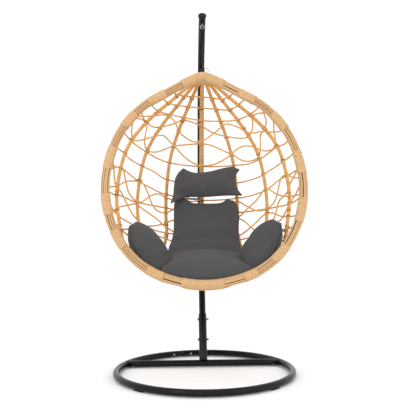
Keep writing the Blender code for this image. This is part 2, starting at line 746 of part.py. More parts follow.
# Each cane starts at the left rim, crosses the ribs, turns beside the right rim and comes back lower down.
# layer 1 lies outside the ribs and -1 inside them. A route is (bearing, t); at a bearing of 89 it meets
# the rim.
STRAND_STEPS = 52
STRANDS = {
    "weave_cane_1": (1, [(-89, 0.155), (-63, 0.140), (-42, 0.134), (0, 0.130), (42, 0.134), (63, 0.142),
                         (84, 0.160), (84, 0.184), (63, 0.186), (42, 0.182), (0, 0.174), (-42, 0.180),
                         (-63, 0.186), (-89, 0.202)]),
    "weave_cane_2": (1, [(-89, 0.268), (-63, 0.250), (-42, 0.236), (0, 0.218), (42, 0.234), (63, 0.248),
                         (86, 0.264), (86, 0.296), (63, 0.300), (42, 0.288), (21, 0.274), (0, 0.268),
                         (-21, 0.276), (-42, 0.298), (-63, 0.318), (-89, 0.338)]),
    "weave_cane_3": (1, [(-89, 0.408), (-63, 0.376), (-42, 0.352), (-10, 0.318), (10, 0.318), (42, 0.350),
                         (63, 0.370), (86, 0.390), (86, 0.426), (63, 0.428), (42, 0.414), (21, 0.392),
                         (0, 0.385), (-21, 0.397), (-52, 0.428), (-89, 0.474)]),
    "weave_cane_4": (1, [(-89, 0.575), (-60, 0.524), (-30, 0.472), (0, 0.455), (30, 0.470), (60, 0.505),
                         (87, 0.545), (87, 0.590), (60, 0.592), (42, 0.575), (21, 0.547), (0, 0.537),
                         (-21, 0.549), (-50, 0.592), (-89, 0.655)]),
    "weave_cane_5": (-1, [(-89, 0.330), (-60, 0.240), (-40, 0.200), (-20, 0.250), (0, 0.240), (20, 0.200),
                          (40, 0.220), (60, 0.250), (86, 0.310), (86, 0.362), (64, 0.352), (48, 0.300),
                          (30, 0.290), (14, 0.330), (0, 0.350), (-20, 0.310), (-40, 0.285), (-58, 0.340),
                          (-89, 0.385)]),
    "weave_cane_6": (-1, [(-89, 0.495), (-62, 0.420), (-42, 0.380), (-21, 0.400), (0, 0.430), (21, 0.400),
                          (42, 0.380), (60, 0.420), (86, 0.470), (86, 0.522), (68, 0.524), (50, 0.480),
                          (30, 0.460), (10, 0.510), (0, 0.520), (-14, 0.510), (-34, 0.470), (-56, 0.510),
                          (-89, 0.560)]),
    "weave_cane_7": (1, [(-89, 0.720), (-50, 0.690), (-21, 0.640), (0, 0.630), (21, 0.640), (50, 0.690),
                         (86, 0.714), (86, 0.752), (63, 0.772), (40, 0.764), (18, 0.745), (0, 0.740),
                         (-18, 0.745), (-40, 0.765), (-63, 0.790), (-89, 0.795)]),
}


def build_basket():
    right = rim_half(RIM_STEPS + 1)
    left = [Vector((-p.x, p.y, p.z)) for p in right]
    loop = right + left[-2:0:-1]
    outward = Vector((0, -1, 0))
    sweep("rim_rod", loop, RIM_ROD, 6, "frame_steel", closed=True, reference=outward)
    for side, points in (("right", right), ("left", left)):
        nudge = Vector((0.0003 if side == "right" else -0.0003, 0, 0))
        half = [p.copy() for p in points]
        half[0] += nudge
        half[-1] += nudge
        away = nudge.normalized()
        sweep("rim_wrap_" + side, half, RIM_WRAP, RIM_SIDES, "rim_cane", bore=RIM_WRAP_BORE,
              reference=outward,
              ends=(away, -away))
    build_hub(right)
    for name in RIBS:
        sweep("rib_" + name, rib_path(name), RIB_TUBE, 6, "rib_cane", bore=RIB_TUBE - RIB_WALL)
    for name in STRANDS:
        sweep(name, strand_path(name), STRAND, 4, "weave_cane")


def build_hub(right):
    """The wrapped plate behind the apex that the ribs spring from, and the steel eye on it."""
    outline = [(-HUB_HALF_WIDTH, -0.040)]
    for k in range(11):
        angle = math.pi - math.pi * k / 10
        outline.append((HUB_HALF_WIDTH * math.cos(angle), -0.016 + (HUB_BACK_Y + 0.016) * math.sin(angle)))
    outline.append((HUB_HALF_WIDTH, -0.040))
    count = len(outline)
    vertices = [(x, y, HUB_BOTTOM) for x, y in outline] + [(x, y, HUB_TOP) for x, y in outline]
    faces = [tuple(range(count)), tuple(range(2 * count - 1, count - 1, -1))]
    for k in range(count):
        n = (k + 1) % count
        faces.append((k, n, count + n, count + k))
    hub = make_object("top_hub", vertices, faces, "rim_cane", smooth=False)
    near = [Vector((-p.x, p.y, p.z)) for p in right[5:0:-1]] + right[:6]
    reach = (RIM_WRAP + GAP) / math.cos(math.pi / RIM_SIDES)
    cutter = sweep("cutter", near, reach, RIM_SIDES, "zinc", reference=Vector((0, -1, 0)))
    combine(hub, cutter, "DIFFERENCE")
    top = hanger_heights()["basket_eye"]
    path = [(0, BASKET_EYE_BEND, HUB_TOP + 0.0004)]
    for k in range(11):
        angle = math.pi * k / 10
        path.append((0, BASKET_EYE_BEND * math.cos(angle),
                     top - BASKET_EYE_BEND + BASKET_EYE_BEND * math.sin(angle)))
    path.append((0, -BASKET_EYE_BEND, HUB_TOP + 0.0004))
    sweep("basket_eye", path, BASKET_EYE_WIRE, 8, "black_steel", reference=Vector((1, 0, 0)))


# ---------------------------------------------------------------- cushions

def power(value, exponent):
    return math.copysign(abs(value) ** exponent, value)


def pad_sweep(name, path, half_width, half_thick, side):
    """A stuffed pad: a rounded section that follows a bent centre line and closes at both ends."""
    points = curve_through(path, 13)
    tangents = directions_along(points)
    vertices = []
    faces = []
    around = 16
    rows = []
    for i, p in enumerate(points):
        end = min(i, len(points) - 1 - i)
        grow = (0.45, 0.86, 1.0)[min(end, 2)]
        wide = half_width * (0.90, 0.975, 1.0)[min(end, 2)]
        other = tangents[i].cross(side).normalized()
        row = []
        for k in range(around):
            angle = 2 * math.pi * k / around
            row.append(len(vertices))
            vertices.append(p + side * wide * power(math.cos(angle), 0.45)
                            + other * half_thick * grow * power(math.sin(angle), 0.75))
        rows.append(row)
    for a, b in zip(rows, rows[1:]):
        for k in range(around):
            n = (k + 1) % around
            faces.append((a[k], a[n], b[n], b[k]))
    faces.append(tuple(reversed(rows[0])))
    faces.append(tuple(rows[-1]))
    return make_object(name, vertices, faces, "cushion_cloth")


def pad_block(name, centre, along, across, half_sizes):
    """A plump pad round a centre, with the half sizes along, across and through it."""
    along = Vector(along).normalized()
    across = Vector(across)
    across = (across - along * across.dot(along)).normalized()
    through = along.cross(across)
    centre = Vector(centre)
    vertices = []
    faces = []
    around = 16
    levels = 7
    for i in range(levels):
        lat = math.pi * (i + 1) / (levels + 1) - math.pi / 2
        for k in range(around):
            lon = 2 * math.pi * k / around
            c = power(math.cos(lat), 0.55)
            vertices.append(centre + along * half_sizes[0] * c * power(math.cos(lon), 0.55)
                            + across * half_sizes[1] * c * power(math.sin(lon), 0.55)
                            + through * half_sizes[2] * power(math.sin(lat), 0.8))
    low = len(vertices)
    vertices.append(centre - through * half_sizes[2])
    vertices.append(centre + through * half_sizes[2])
    for i in range(levels - 1):
        for k in range(around):
            n = (k + 1) % around
            faces.append((i * around + k, i * around + n, (i + 1) * around + n, (i + 1) * around + k))
    last = (levels - 1) * around
    for k in range(around):
        n = (k + 1) % around
        faces.append((low, n, k))
        faces.append((low + 1, last + k, last + n))
    return make_object(name, vertices, faces, "cushion_cloth")


def build_cushions():
    pad_sweep("seat_back_cushion",
              [(0.008, -0.214, 0.594), (0.008, -0.110, 0.592), (0.008, 0.006, 0.594), (0.009, 0.090, 0.614),
               (0.011, 0.155, 0.680), (0.014, 0.194, 0.780), (0.018, 0.215, 0.880), (0.020, 0.219, 0.945)],
              0.185, 0.050, Vector((1, 0, 0)))
    pad_block("arm_cushion_left", (-0.296, -0.070, 0.702), (-0.62, 0, 0.785), (0.36, 0.93, 0),
              (0.142, 0.120, 0.050))
    pad_block("arm_cushion_right", (0.302, -0.070, 0.712), (0.62, 0, 0.785), (-0.36, 0.93, 0),
              (0.142, 0.120, 0.050))
    pad_block("head_pillow", (0.018, 0.226, 1.052), (1, 0, 0.01), (0, 0.10, 1), (0.180, 0.082, 0.048))
    build_pillow_tie()


def build_pillow_tie():
    """The pillow's tie: a soft cord sewn to its lower edge that loops round the centre rib."""
    t = min((0.3 + k / 5000 for k in range(2000)), key=lambda k: abs(shell_point(0, k).z - TIE_HEIGHT))
    rib_y = shell_point(0, t).y
    reach = RIB_TUBE + TIE_RADIUS + 0.0026
    hold = []
    for k in range(12):
        angle = math.radians(195 - 285 * k / 11)
        hold.append((reach * math.cos(angle), rib_y + reach * math.sin(angle),
                     TIE_HEIGHT + 0.003 - 0.009 * k / 11))
    route = [(-0.096, 0.250, 0.966), (-0.070, 0.290, 0.957), (-0.038, 0.330, 0.956)] + hold
    route += [(-0.012, rib_y - reach - 0.0030, TIE_HEIGHT - 0.0068), (-0.042, 0.316, 0.943),
              (-0.080, 0.274, 0.945),
              (-0.105, 0.244, 0.958)]
    sweep("pillow_tie", curve_through(route, 56), TIE_RADIUS, 6, "cord_black")


clear_scene()
build_base()
build_post()
build_hanger()
build_basket()
build_cushions()
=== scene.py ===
"""The looks of a hanging egg chair: an open cane basket with cushions on a C-shaped tube stand."""
import json
import math
import random

import bpy
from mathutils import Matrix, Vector, noise


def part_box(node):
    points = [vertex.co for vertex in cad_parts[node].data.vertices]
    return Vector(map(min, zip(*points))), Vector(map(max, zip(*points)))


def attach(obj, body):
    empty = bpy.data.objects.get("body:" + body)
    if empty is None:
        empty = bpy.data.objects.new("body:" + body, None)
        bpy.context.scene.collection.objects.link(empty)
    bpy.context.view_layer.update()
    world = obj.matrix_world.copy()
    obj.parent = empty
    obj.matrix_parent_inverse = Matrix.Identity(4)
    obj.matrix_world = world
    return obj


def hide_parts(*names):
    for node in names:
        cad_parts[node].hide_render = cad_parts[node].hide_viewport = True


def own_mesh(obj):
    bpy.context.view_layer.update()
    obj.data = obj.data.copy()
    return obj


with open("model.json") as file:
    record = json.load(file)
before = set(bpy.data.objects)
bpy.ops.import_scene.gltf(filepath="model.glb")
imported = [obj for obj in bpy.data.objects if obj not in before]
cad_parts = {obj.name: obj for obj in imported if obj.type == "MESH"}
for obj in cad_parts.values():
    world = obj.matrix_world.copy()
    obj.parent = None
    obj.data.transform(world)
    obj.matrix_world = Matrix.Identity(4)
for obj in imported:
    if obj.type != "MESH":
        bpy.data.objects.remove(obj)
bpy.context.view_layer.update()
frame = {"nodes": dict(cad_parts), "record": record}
nodes = frame["nodes"]

ACROSS = Vector((1, 0, 0))
BACK = Vector((0, 1, 0))
FRONT = Vector((0, -1, 0))
UP = Vector((0, 0, 1))


# ---------------------------------------------------------------- camera

CAMERA_BACK = 3.86
CAMERA_HEIGHT = 0.90
CAMERA_ASIDE = -0.13
CAMERA_ROLL_DEG = 0.4
CAMERA_SHIFT = 0.0110
SENSOR = 36.0
LENS = 61.7885

camera_data = bpy.data.cameras.new("camera")
camera_data.sensor_width = SENSOR
camera_data.lens = LENS
camera_data.shift_x = CAMERA_SHIFT
camera = bpy.data.objects.new("camera", camera_data)
camera.location = (CAMERA_ASIDE, -CAMERA_BACK, CAMERA_HEIGHT)
camera.rotation_euler = (math.radians(90), math.radians(CAMERA_ROLL_DEG),
                         math.atan(CAMERA_ASIDE / CAMERA_BACK))
bpy.context.scene.collection.objects.link(camera)
bpy.context.scene.camera = camera


# ---------------------------------------------------------------- curves

SPLINE_STEPS = 24


def spline(points):
    """Dense points on a Catmull-Rom curve. The first and the last given point only steer its ends."""
    dense = []
    for a, b, c, d in zip(points, points[1:], points[2:], points[3:]):
        for k in range(SPLINE_STEPS):
            s = k / SPLINE_STEPS
            dense.append(0.5 * ((2 * b) + (c - a) * s + (2 * a - 5 * b + 4 * c - d) * s * s
                                + (3 * b - a - 3 * c + d) * s ** 3))
    return dense + [points[-2]]


def curve_through(points, count):
    """Evenly spaced points on a smooth curve through the given ones."""
    given = [Vector(p) for p in points]
    return even_points(spline([given[0] * 2 - given[1]] + given + [given[-1] * 2 - given[-2]]), count)


def even_points(dense, count):
    lengths = [0.0]
    for a, b in zip(dense, dense[1:]):
        lengths.append(lengths[-1] + (b - a).length)
    points = []
    k = 0
    for i in range(count):
        target = lengths[-1] * i / (count - 1)
        while k < len(dense) - 2 and lengths[k + 1] < target:
            k += 1
        span = lengths[k + 1] - lengths[k]
        share = 0 if span == 0 else min(1.0, (target - lengths[k]) / span)
        points.append(dense[k].lerp(dense[k + 1], share))
    return points


def path_length(points):
    return sum((b - a).length for a, b in zip(points, points[1:]))


def at_share(points, share):
    """The point a share of the way along evenly spaced points."""
    at = min(1.0, max(0.0, share)) * (len(points) - 1)
    k = min(int(at), len(points) - 2)
    return points[k].lerp(points[k + 1], at - k)


def at_length(points, length):
    return at_share(points, length / path_length(points))


def sub_path(points, start, end, count):
    return [at_share(points, start + (end - start) * k / (count - 1)) for k in range(count)]


def mirrored(points):
    return [Vector((-p.x, p.y, p.z)) for p in points]


def smooth(x):
    x = min(1.0, max(0.0, x))
    return x * x * (3 - 2 * x)


def polar(first, second, radius, angle):
    return first * (radius * math.cos(angle)) + second * (radius * math.sin(angle))


def circle(centre, first, second, radius, count):
    return [centre + polar(first, second, radius, 2 * math.pi * k / count) for k in range(count)]


def arc(first, second, centre, radius, start_deg, end_deg, count):
    step = (end_deg - start_deg) / (count - 1)
    return [centre + polar(first, second, radius, math.radians(start_deg + step * k)) for k in range(count)]


# ---------------------------------------------------------------- meshes

class Shape:
    """Collects tubes and sheets into one mesh. Its map, Lay, holds metres along and the share around."""

    def __init__(self):
        self.vertices = []
        self.faces = []
        self.lay = []
        self.slots = []

    def add(self, point):
        self.vertices.append(tuple(point))
        return len(self.vertices) - 1

    def face(self, corners, lay=None, slot=0):
        self.faces.append(tuple(corners))
        self.lay.append(lay or [(0.0, 0.0)] * len(corners))
        self.slots.append(slot)

    def rings(self, rows, alongs, closed=False, capped=True, slot=0):
        """Joins rows of indices, each a ring, and closes the two ends."""
        around = len(rows[0])
        pairs = list(zip(range(len(rows) - 1), range(1, len(rows))))
        if closed:
            pairs.append((len(rows) - 1, 0))
        for i, j in pairs:
            u0 = alongs[i]
            u1 = alongs[j] if j > i else alongs[i] + (alongs[1] - alongs[0])
            for k in range(around):
                n = (k + 1) % around
                v0 = k / around
                v1 = (k + 1) / around
                self.face((rows[i][k], rows[i][n], rows[j][n], rows[j][k]),
                          [(u0, v0), (u0, v1), (u1, v1), (u1, v0)], slot)
        if capped and not closed:
            self.face(rows[0][::-1], slot=slot)
            self.face(rows[-1], slot=slot)

    def tube(self, points, radius, sides=12, closed=False, capped=True, reference=None, slot=0, start=0.0):
        """A tube round the points. radius is a number or a function of (metres along, angle)."""
        rows = []
        alongs = []
        along = start
        for i, (p, _, side, other) in enumerate(frames_along(points, closed, reference)):
            if i:
                along += (p - points[i - 1]).length
            row = []
            for k in range(sides):
                angle = 2 * math.pi * k / sides
                r = radius(along, angle) if callable(radius) else radius
                row.append(self.add(p + polar(side, other, r, angle)))
            rows.append(row)
            alongs.append(along)
        self.rings(rows, alongs, closed, capped, slot)

    def make(self, name, body, slot_name, *materials):
        mesh = bpy.data.meshes.new(name)
        mesh.from_pydata(self.vertices, [], self.faces)
        flat = [value for lay in self.lay for corner in lay for value in corner]
        mesh.uv_layers.new(name="Lay").data.foreach_set("uv", flat)
        for material in materials:
            mesh.materials.append(material)
        mesh.polygons.foreach_set("material_index", self.slots)
        mesh.polygons.foreach_set("use_smooth", [True] * len(self.faces))
        mesh.update()
        thing = bpy.data.objects.new(name, mesh)
        bpy.context.scene.collection.objects.link(thing)
        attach(thing, body)
        return thing

    def replace(self, node, name, body, slot_name, *materials):
        """Makes the piece and puts it in the place of a CAD node."""
        thing = self.make(name, body, slot_name, *materials)
        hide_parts(node)
        return thing


def frames_along(points, closed=False, reference=None):
    """(point, tangent, side, other side) at each point. The sides turn as little as they can."""
    count = len(points)
    tangents = []
    for i in range(count):
        a = points[i - 1] if closed or i else points[0]
        b = points[(i + 1) % count] if closed or i < count - 1 else points[-1]
        tangents.append((b - a).normalized())
    side = reference or (UP if abs(tangents[0].z) < 0.8 else FRONT)
    side = (side - tangents[0] * side.dot(tangents[0])).normalized()
    frames = []
    for p, tangent in zip(points, tangents):
        base = reference or side
        side = (base - tangent * base.dot(tangent)).normalized()
        frames.append((p, tangent, side, tangent.cross(side)))
    return frames


def turned(shape, start, direction, stations, sides=24):
    """A round part: stations are (distance along, radius)."""
    direction = direction.normalized()
    other = ACROSS if abs(direction.x) < 0.8 else BACK
    side = (other - direction * other.dot(direction)).normalized()
    third = direction.cross(side)
    rows = [[shape.add(p) for p in circle(start + direction * along, side, third, radius, sides)]
            for along, radius in stations]
    shape.rings(rows, [along for along, _ in stations])


# ---------------------------------------------------------------- materials

EVEN = (1, 1, 1)


class Graph:
    """Short names for building one material's nodes."""

    def __init__(self, name):
        self.material = bpy.data.materials.new(name)
        self.material.use_nodes = True
        self.tree = self.material.node_tree
        self.shader = self.tree.nodes["Principled BSDF"]

    def node(self, kind, **settings):
        made = self.tree.nodes.new(kind)
        for key, value in settings.items():
            if key.startswith("in_"):
                made.inputs[key[3:].replace("_", " ")].default_value = value
            else:
                setattr(made, key, value)
        return made

    def feed(self, socket, value):
        """Links another node's output to the socket, or sets the socket to a colour or a number."""
        if isinstance(value, bpy.types.NodeSocket):
            self.tree.links.new(value, socket)
        else:
            socket.default_value = (*value, 1) if isinstance(value, tuple) else value

    def mapped(self, source, stretch):
        mapping = self.node("ShaderNodeMapping", in_Scale=stretch)
        self.feed(mapping.inputs["Vector"], source)
        return mapping.outputs["Vector"]

    def place(self, stretch=EVEN):
        """The piece's own coordinates in metres, stretched."""
        return self.mapped(self.node("ShaderNodeTexCoord").outputs["Object"], stretch)

    def lay(self, stretch):
        """Metres along a cane and the share round it, stretched."""
        return self.mapped(self.node("ShaderNodeUVMap", uv_map="Lay").outputs["UV"], stretch)

    def noise(self, where, scale, detail=3.0, roughness=0.5):
        made = self.node("ShaderNodeTexNoise", in_Scale=scale, in_Detail=detail, in_Roughness=roughness)
        self.feed(made.inputs["Vector"], where)
        return made.outputs["Fac"]

    def ramp(self, factor, stops):
        made = self.node("ShaderNodeValToRGB")
        elements = made.color_ramp.elements
        while len(elements) < len(stops):
            elements.new(0.5)
        for element, (position, colour) in zip(elements, stops):
            element.position = position
            element.color = (*colour, 1)
        self.feed(made.inputs["Fac"], factor)
        return made.outputs["Color"]

    def grey(self, factor, stops):
        return self.ramp(factor, [(p, (v, v, v)) for p, v in stops])

    def mix(self, factor, a, b, kind="MIX"):
        made = self.node("ShaderNodeMix", data_type="RGBA", blend_type=kind)
        for socket, value in ((0, factor), (6, a), (7, b)):
            self.feed(made.inputs[socket], value)
        return made.outputs[2]

    def math(self, operation, a, b=0.0):
        made = self.node("ShaderNodeMath", operation=operation)
        self.feed(made.inputs[0], a)
        self.feed(made.inputs[1], b)
        return made.outputs["Value"]

    def bump(self, height, strength, distance):
        made = self.node("ShaderNodeBump", in_Strength=strength, in_Distance=distance)
        self.feed(made.inputs["Height"], height)
        self.feed(self.shader.inputs["Normal"], made.outputs["Normal"])

    def set(self, **values):
        for key, value in values.items():
            self.feed(self.shader.inputs[key.replace("_", " ")], value)


def tinted(colour, factors):
    return tuple(c * f for c, f in zip(colour, factors))


def scaled(colour, factor):
    return tinted(colour, (factor, factor, factor))


def cane_material(name, colour, wind=None):
    """Rattan: fine grain along each cane, tone that drifts, and for wound cane a tone for each turn and
    painted shade at the edges of each turn.
    """
    g = Graph(name)
    grain_lines = g.noise(g.lay((35, 14, 1)), 6.0, 4.0, 0.6)
    drift = g.noise(g.place(), 9.0, 2.0)
    base = g.ramp(grain_lines, [(0.30, scaled(colour, 0.92)), (0.52, colour), (0.75, scaled(colour, 1.06))])
    base = g.mix(g.grey(drift, [(0.35, 0.0), (0.65, 0.28)]), base, tinted(colour, (1.04, 0.93, 0.80)))
    height = grain_lines
    if wind:
        separate = g.node("ShaderNodeSeparateXYZ")
        g.feed(separate.inputs["Vector"], g.lay((1 / wind, 1, 1)))
        spiral = g.math("SUBTRACT", separate.outputs["X"], separate.outputs["Y"])
        tone = g.node("ShaderNodeTexWhiteNoise", noise_dimensions="1D")
        g.feed(tone.inputs["W"], g.math("FLOOR", spiral))
        shade = g.grey(tone.outputs["Value"], [(0.0, 0.86), (1.0, 1.08)])
        base = g.mix(0.8, base, shade, "MULTIPLY")
        # Each turn darkens to half at its two edges: painted shade in the groove between turns.
        edge = g.grey(g.math("FRACT", spiral), [(0.0, 0.50), (0.10, 1.0), (0.90, 1.0), (1.0, 0.50)])
        base = g.mix(0.75, base, edge, "MULTIPLY")
        height = g.math("ADD", g.math("MULTIPLY", grain_lines, 0.3), edge)
    roughness = g.grey(g.noise(g.place(), 60.0), [(0.3, 0.42), (0.7, 0.58)])
    g.set(Base_Color=base, Roughness=roughness, Specular_IOR_Level=0.42)
    g.bump(height, 0.35, 0.0006)
    return g.material


def hard_material(name, tone, tones, skin, gloss, bump, brushed=False, **settings):
    """A hard surface: its colour follows one noise, its bumps another, and its gloss the first of them,
    or the second where it is brushed. Each noise is given as (stretch, scale, detail, roughness)."""
    g = Graph(name)
    drift = g.noise(g.place(tone[0]), *tone[1:])
    relief = g.noise(g.place(skin[0]), *skin[1:])
    rough = g.grey(relief if brushed else drift, gloss)
    g.set(Base_Color=g.ramp(drift, tones), Roughness=rough, **settings)
    g.bump(relief, *bump)
    return g.material


def zinc_material(name, tint):
    """Zinc plate: pale metal with a faint yellow bloom, brushed finely, darker in its scratches."""
    tones = [(0.3, scaled(tint, 0.70)), (0.55, tint), (0.75, tinted(tint, (1.12, 1.06, 0.86)))]
    gloss = [(0.3, 0.26), (0.7, 0.46)]
    return hard_material(name, (EVEN, 55.0, 4.0), tones, ((1, 1, 12), 260.0, 3.0), gloss, (0.10, 0.0002),
                         brushed=True, Metallic=1.0)


def cloth_material(name, colour, sheen=0.1):
    """Plain-woven polyester: crossing threads, flecks of lighter yarn and a soft sheen."""
    g = Graph(name)
    where = g.place()
    threads = []
    for direction in ("X", "Z"):
        wave = g.node("ShaderNodeTexWave", wave_type="BANDS", bands_direction=direction, in_Scale=210.0,
                      in_Distortion=0.6, in_Detail=1.0)
        g.feed(wave.inputs["Vector"], where)
        threads.append(wave.outputs["Fac"])
    weave = g.math("MULTIPLY", *threads)
    fleck = g.noise(where, 700.0, 2.0)
    base = g.ramp(g.noise(where, 7.0, 3.0), [(0.3, scaled(colour, 0.94)), (0.7, scaled(colour, 1.06))])
    base = g.mix(g.grey(fleck, [(0.45, 0.0), (0.75, 0.35)]), base, scaled(colour, 1.5))
    base = g.mix(g.grey(weave, [(0.0, 0.30), (0.6, 0.0)]), base, scaled(colour, 0.6))
    g.set(Base_Color=base, Roughness=g.grey(fleck, [(0.3, 0.80), (0.7, 0.94)]), Sheen_Weight=sheen,
          Sheen_Roughness=0.45, Specular_IOR_Level=0.2)
    g.bump(weave, 0.25, 0.0005)
    return g.material


RIM_COLOUR = (0.66, 0.415, 0.205)
RIB_COLOUR = (0.74, 0.40, 0.122)
CUSHION_GREY = (0.0755, 0.0755, 0.0775)
WIND_RIM = 0.0065
WIND_RIB = 0.012
rim_wound = cane_material("rim_flat_cane", RIM_COLOUR, WIND_RIM)
rim_strand = cane_material("rim_round_cane", scaled(RIM_COLOUR, 0.93))
rib_wound = cane_material("rib_flat_cane", RIB_COLOUR, WIND_RIB)
weave_cane = cane_material("weaving_cane", scaled(RIB_COLOUR, 1.08))
knot_cane = cane_material("knot_cane", scaled(RIB_COLOUR, 0.88))
# The bundle's core is coloured almost black-brown: painted shade in the gaps between the bare long canes.
painted_shade_core = cane_material("shaded_core_cane", (0.075, 0.028, 0.010))
# Dark brown wraps at some knots: painted shade where a cane loops round a rib.
knot_shade_material = cane_material("knot_painted_shade_cane", (0.22, 0.085, 0.026))
zinc = zinc_material("zinc_plated", (0.36, 0.34, 0.30))
frame_steel = zinc_material("primed_steel", (0.32, 0.31, 0.29))
# Satin black powder coat: a fine orange-peel skin, dulled where it is handled or scuffed.
powder = hard_material("powder_coat_black", ((1, 1, 0.5), 14.0, 5.0, 0.65),
                       [(0.35, (0.0034, 0.0030, 0.0032)), (0.62, (0.0052, 0.0046, 0.0048)),
                        (0.80, (0.013, 0.012, 0.012))],
                       (EVEN, 420.0, 2.0), [(0.30, 0.17), (0.75, 0.30)], (0.12, 0.0004), IOR=1.3)
# Black-coated steel wire: half gloss, rubbed to grey where links bear.
black_wire = hard_material("black_wire", (EVEN, 130.0, 4.0, 0.7),
                           [(0.45, (0.012, 0.012, 0.014)), (0.66, (0.024, 0.023, 0.024)),
                            (0.82, (0.13, 0.13, 0.13))],
                           (EVEN, 130.0, 4.0, 0.7), [(0.4, 0.30), (0.8, 0.45)], (0.15, 0.0002),
                           Metallic=0.2, IOR=1.25)
# Moulded black plastic with a fine sparkled grain.
plastic = hard_material("moulded_black_plastic", (EVEN, 40.0, 3.0),
                        [(0.35, (0.008, 0.008, 0.010)), (0.7, (0.015, 0.015, 0.018))],
                        (EVEN, 900.0, 2.0), [(0.3, 0.22), (0.7, 0.36)], (0.2, 0.0003), IOR=1.25)
cushion_cloth = cloth_material("cushion_cloth", CUSHION_GREY, 0.12)
# The seam is coloured darker than the cushion cloth: painted shade along the seam's crease.
seam_shade_cloth = cloth_material("seam_shade_cloth", scaled(CUSHION_GREY, 0.62))
tie_cloth = cloth_material("tie_cord_cloth", (0.012, 0.012, 0.013))

NODE_MATERIALS = {
    "powder_coat": powder, "zinc_plate": zinc, "black_plastic": plastic, "black_steel": black_wire,
    "frame_steel": frame_steel, "rim_cane": rim_wound, "rib_cane": rib_wound, "weave_cane": weave_cane,
    "cushion_cloth": cushion_cloth, "tie_cord": tie_cloth,
}
for row in frame["record"]["subparts"]:
    thing = nodes[row["node"]]
    thing.data.materials.clear()
    thing.data.materials.append(NODE_MATERIALS[row["material_slot"]])
    thing.data.polygons.foreach_set("material_index", [0] * len(thing.data.polygons))


# ---------------------------------------------------------------- the basket's form

RIM_OUTLINE = [
    (0.000, 1.602), (0.057, 1.583), (0.110, 1.556), (0.207, 1.501), (0.299, 1.446), (0.376, 1.373),
    (0.436, 1.286), (0.476, 1.188), (0.499, 1.085), (0.505, 0.998), (0.496, 0.915), (0.471, 0.821),
    (0.422, 0.724), (0.354, 0.641), (0.263, 0.576), (0.161, 0.537), (0.070, 0.518), (0.000, 0.514),
]
RIM_TOP_Y = -0.045
RIM_FOOT_Y = -0.268
RIM_CURL = 2.2
BACK_OUTLINE = [
    (-0.020, 1.592), (0.080, 1.570), (0.190, 1.495), (0.285, 1.365), (0.342, 1.200), (0.365, 1.030),
    (0.353, 0.870), (0.300, 0.715), (0.200, 0.590), (0.060, 0.515), (-0.100, 0.490), (-0.200, 0.496),
    (-0.268, 0.514),
]
RIB_TUBE = 0.0100
STRAND = 0.0047
# Each rib: its bearing behind the rim at the hub and at the waist, and how far down the rim it lands.
RIBS = {
    "left_3": (-48.0, -67.5, 0.785), "left_2": (-32.0, -46.5, 0.840), "left_1": (-17.0, -24.5, 0.905),
    "centre": (0.0, 0.0, 1.000), "right_1": (17.0, 24.5, 0.905), "right_2": (32.0, 46.5, 0.840),
    "right_3": (48.0, 67.5, 0.785),
}
RIB_WAIST = 0.38
RIB_DRIFT_FROM = 0.58
FINE = 401


def rim_depth(z):
    top = RIM_OUTLINE[0][1]
    s = min(1.0, max(0.0, (top - z) / (top - RIM_OUTLINE[-1][1])))
    return RIM_TOP_Y + (RIM_FOOT_Y - RIM_TOP_Y) * (1 - (1 - s) ** RIM_CURL)


def rim_half():
    """The right half of the rim's centre line, from the apex to the foot."""
    after_top, before_foot = [(-x, z) for x, z in (RIM_OUTLINE[1], RIM_OUTLINE[-2])]
    flat = spline([Vector((x, z, 0)) for x, z in [after_top] + RIM_OUTLINE + [before_foot]])
    return even_points([Vector((p.x, rim_depth(p.y), p.y)) for p in flat], FINE)


RIM_FINE = rim_half()
BACK_FINE = curve_through([(0, y, z) for y, z in BACK_OUTLINE], FINE)
BASKET_MIDDLE = Vector((0, -0.05, 1.0))
# The shell has no clear outward direction beside the rim, so it is taken from this far round instead.
SIDEMOST = 86.0


def shell_point(bearing_deg, t):
    """The shell of the basket: bearing 0 is straight back, 90 is the right rim; t runs from hub to foot."""
    rim = at_share(RIM_FINE, t)
    back = at_share(BACK_FINE, t)
    angle = math.radians(bearing_deg)
    c = math.cos(angle)
    return Vector((rim.x * math.sin(angle), rim.y + (back.y - rim.y) * c, rim.z + (back.z - rim.z) * c))


def shell_outward(bearing_deg, t):
    bearing_deg = min(SIDEMOST, max(-SIDEMOST, bearing_deg))
    a = shell_point(bearing_deg + 1.0, t) - shell_point(bearing_deg - 1.0, t)
    b = shell_point(bearing_deg, min(1.0, t + 0.004)) - shell_point(bearing_deg, max(0.0, t - 0.004))
    normal = a.cross(b).normalized()
    return -normal if normal.dot(shell_point(bearing_deg, t) - BASKET_MIDDLE) < 0 else normal


def rib_bearing(name, t):
    hub, waist, landing = RIBS[name]
    bearing = hub + (waist - hub) * smooth(t / RIB_WAIST)
    if waist == 0.0 or t <= RIB_DRIFT_FROM:
        return bearing
    s = min(1.0, (t - RIB_DRIFT_FROM) / (landing - RIB_DRIFT_FROM))
    return bearing + (math.copysign(90.0, waist) - waist) * s * s * (1.25 - 0.25 * s)


def rib_point(name, t):
    return shell_point(rib_bearing(name, t), t)


def station_bearing(station, t):
    """Station 0 is the centre rib, -1 to -3 the left ribs, 1 to 3 the right ribs, and -4 and 4 the rim."""
    bearings = [-90.0] + [rib_bearing(name, t) for name in RIBS] + [90.0]
    return at_number(bearings, min(8.0, max(0.0, station + 4)))


def at_number(values, at):
    k = min(int(at), len(values) - 2)
    return values[k] + (values[k + 1] - values[k]) * (at - k)


# ---------------------------------------------------------------- rim

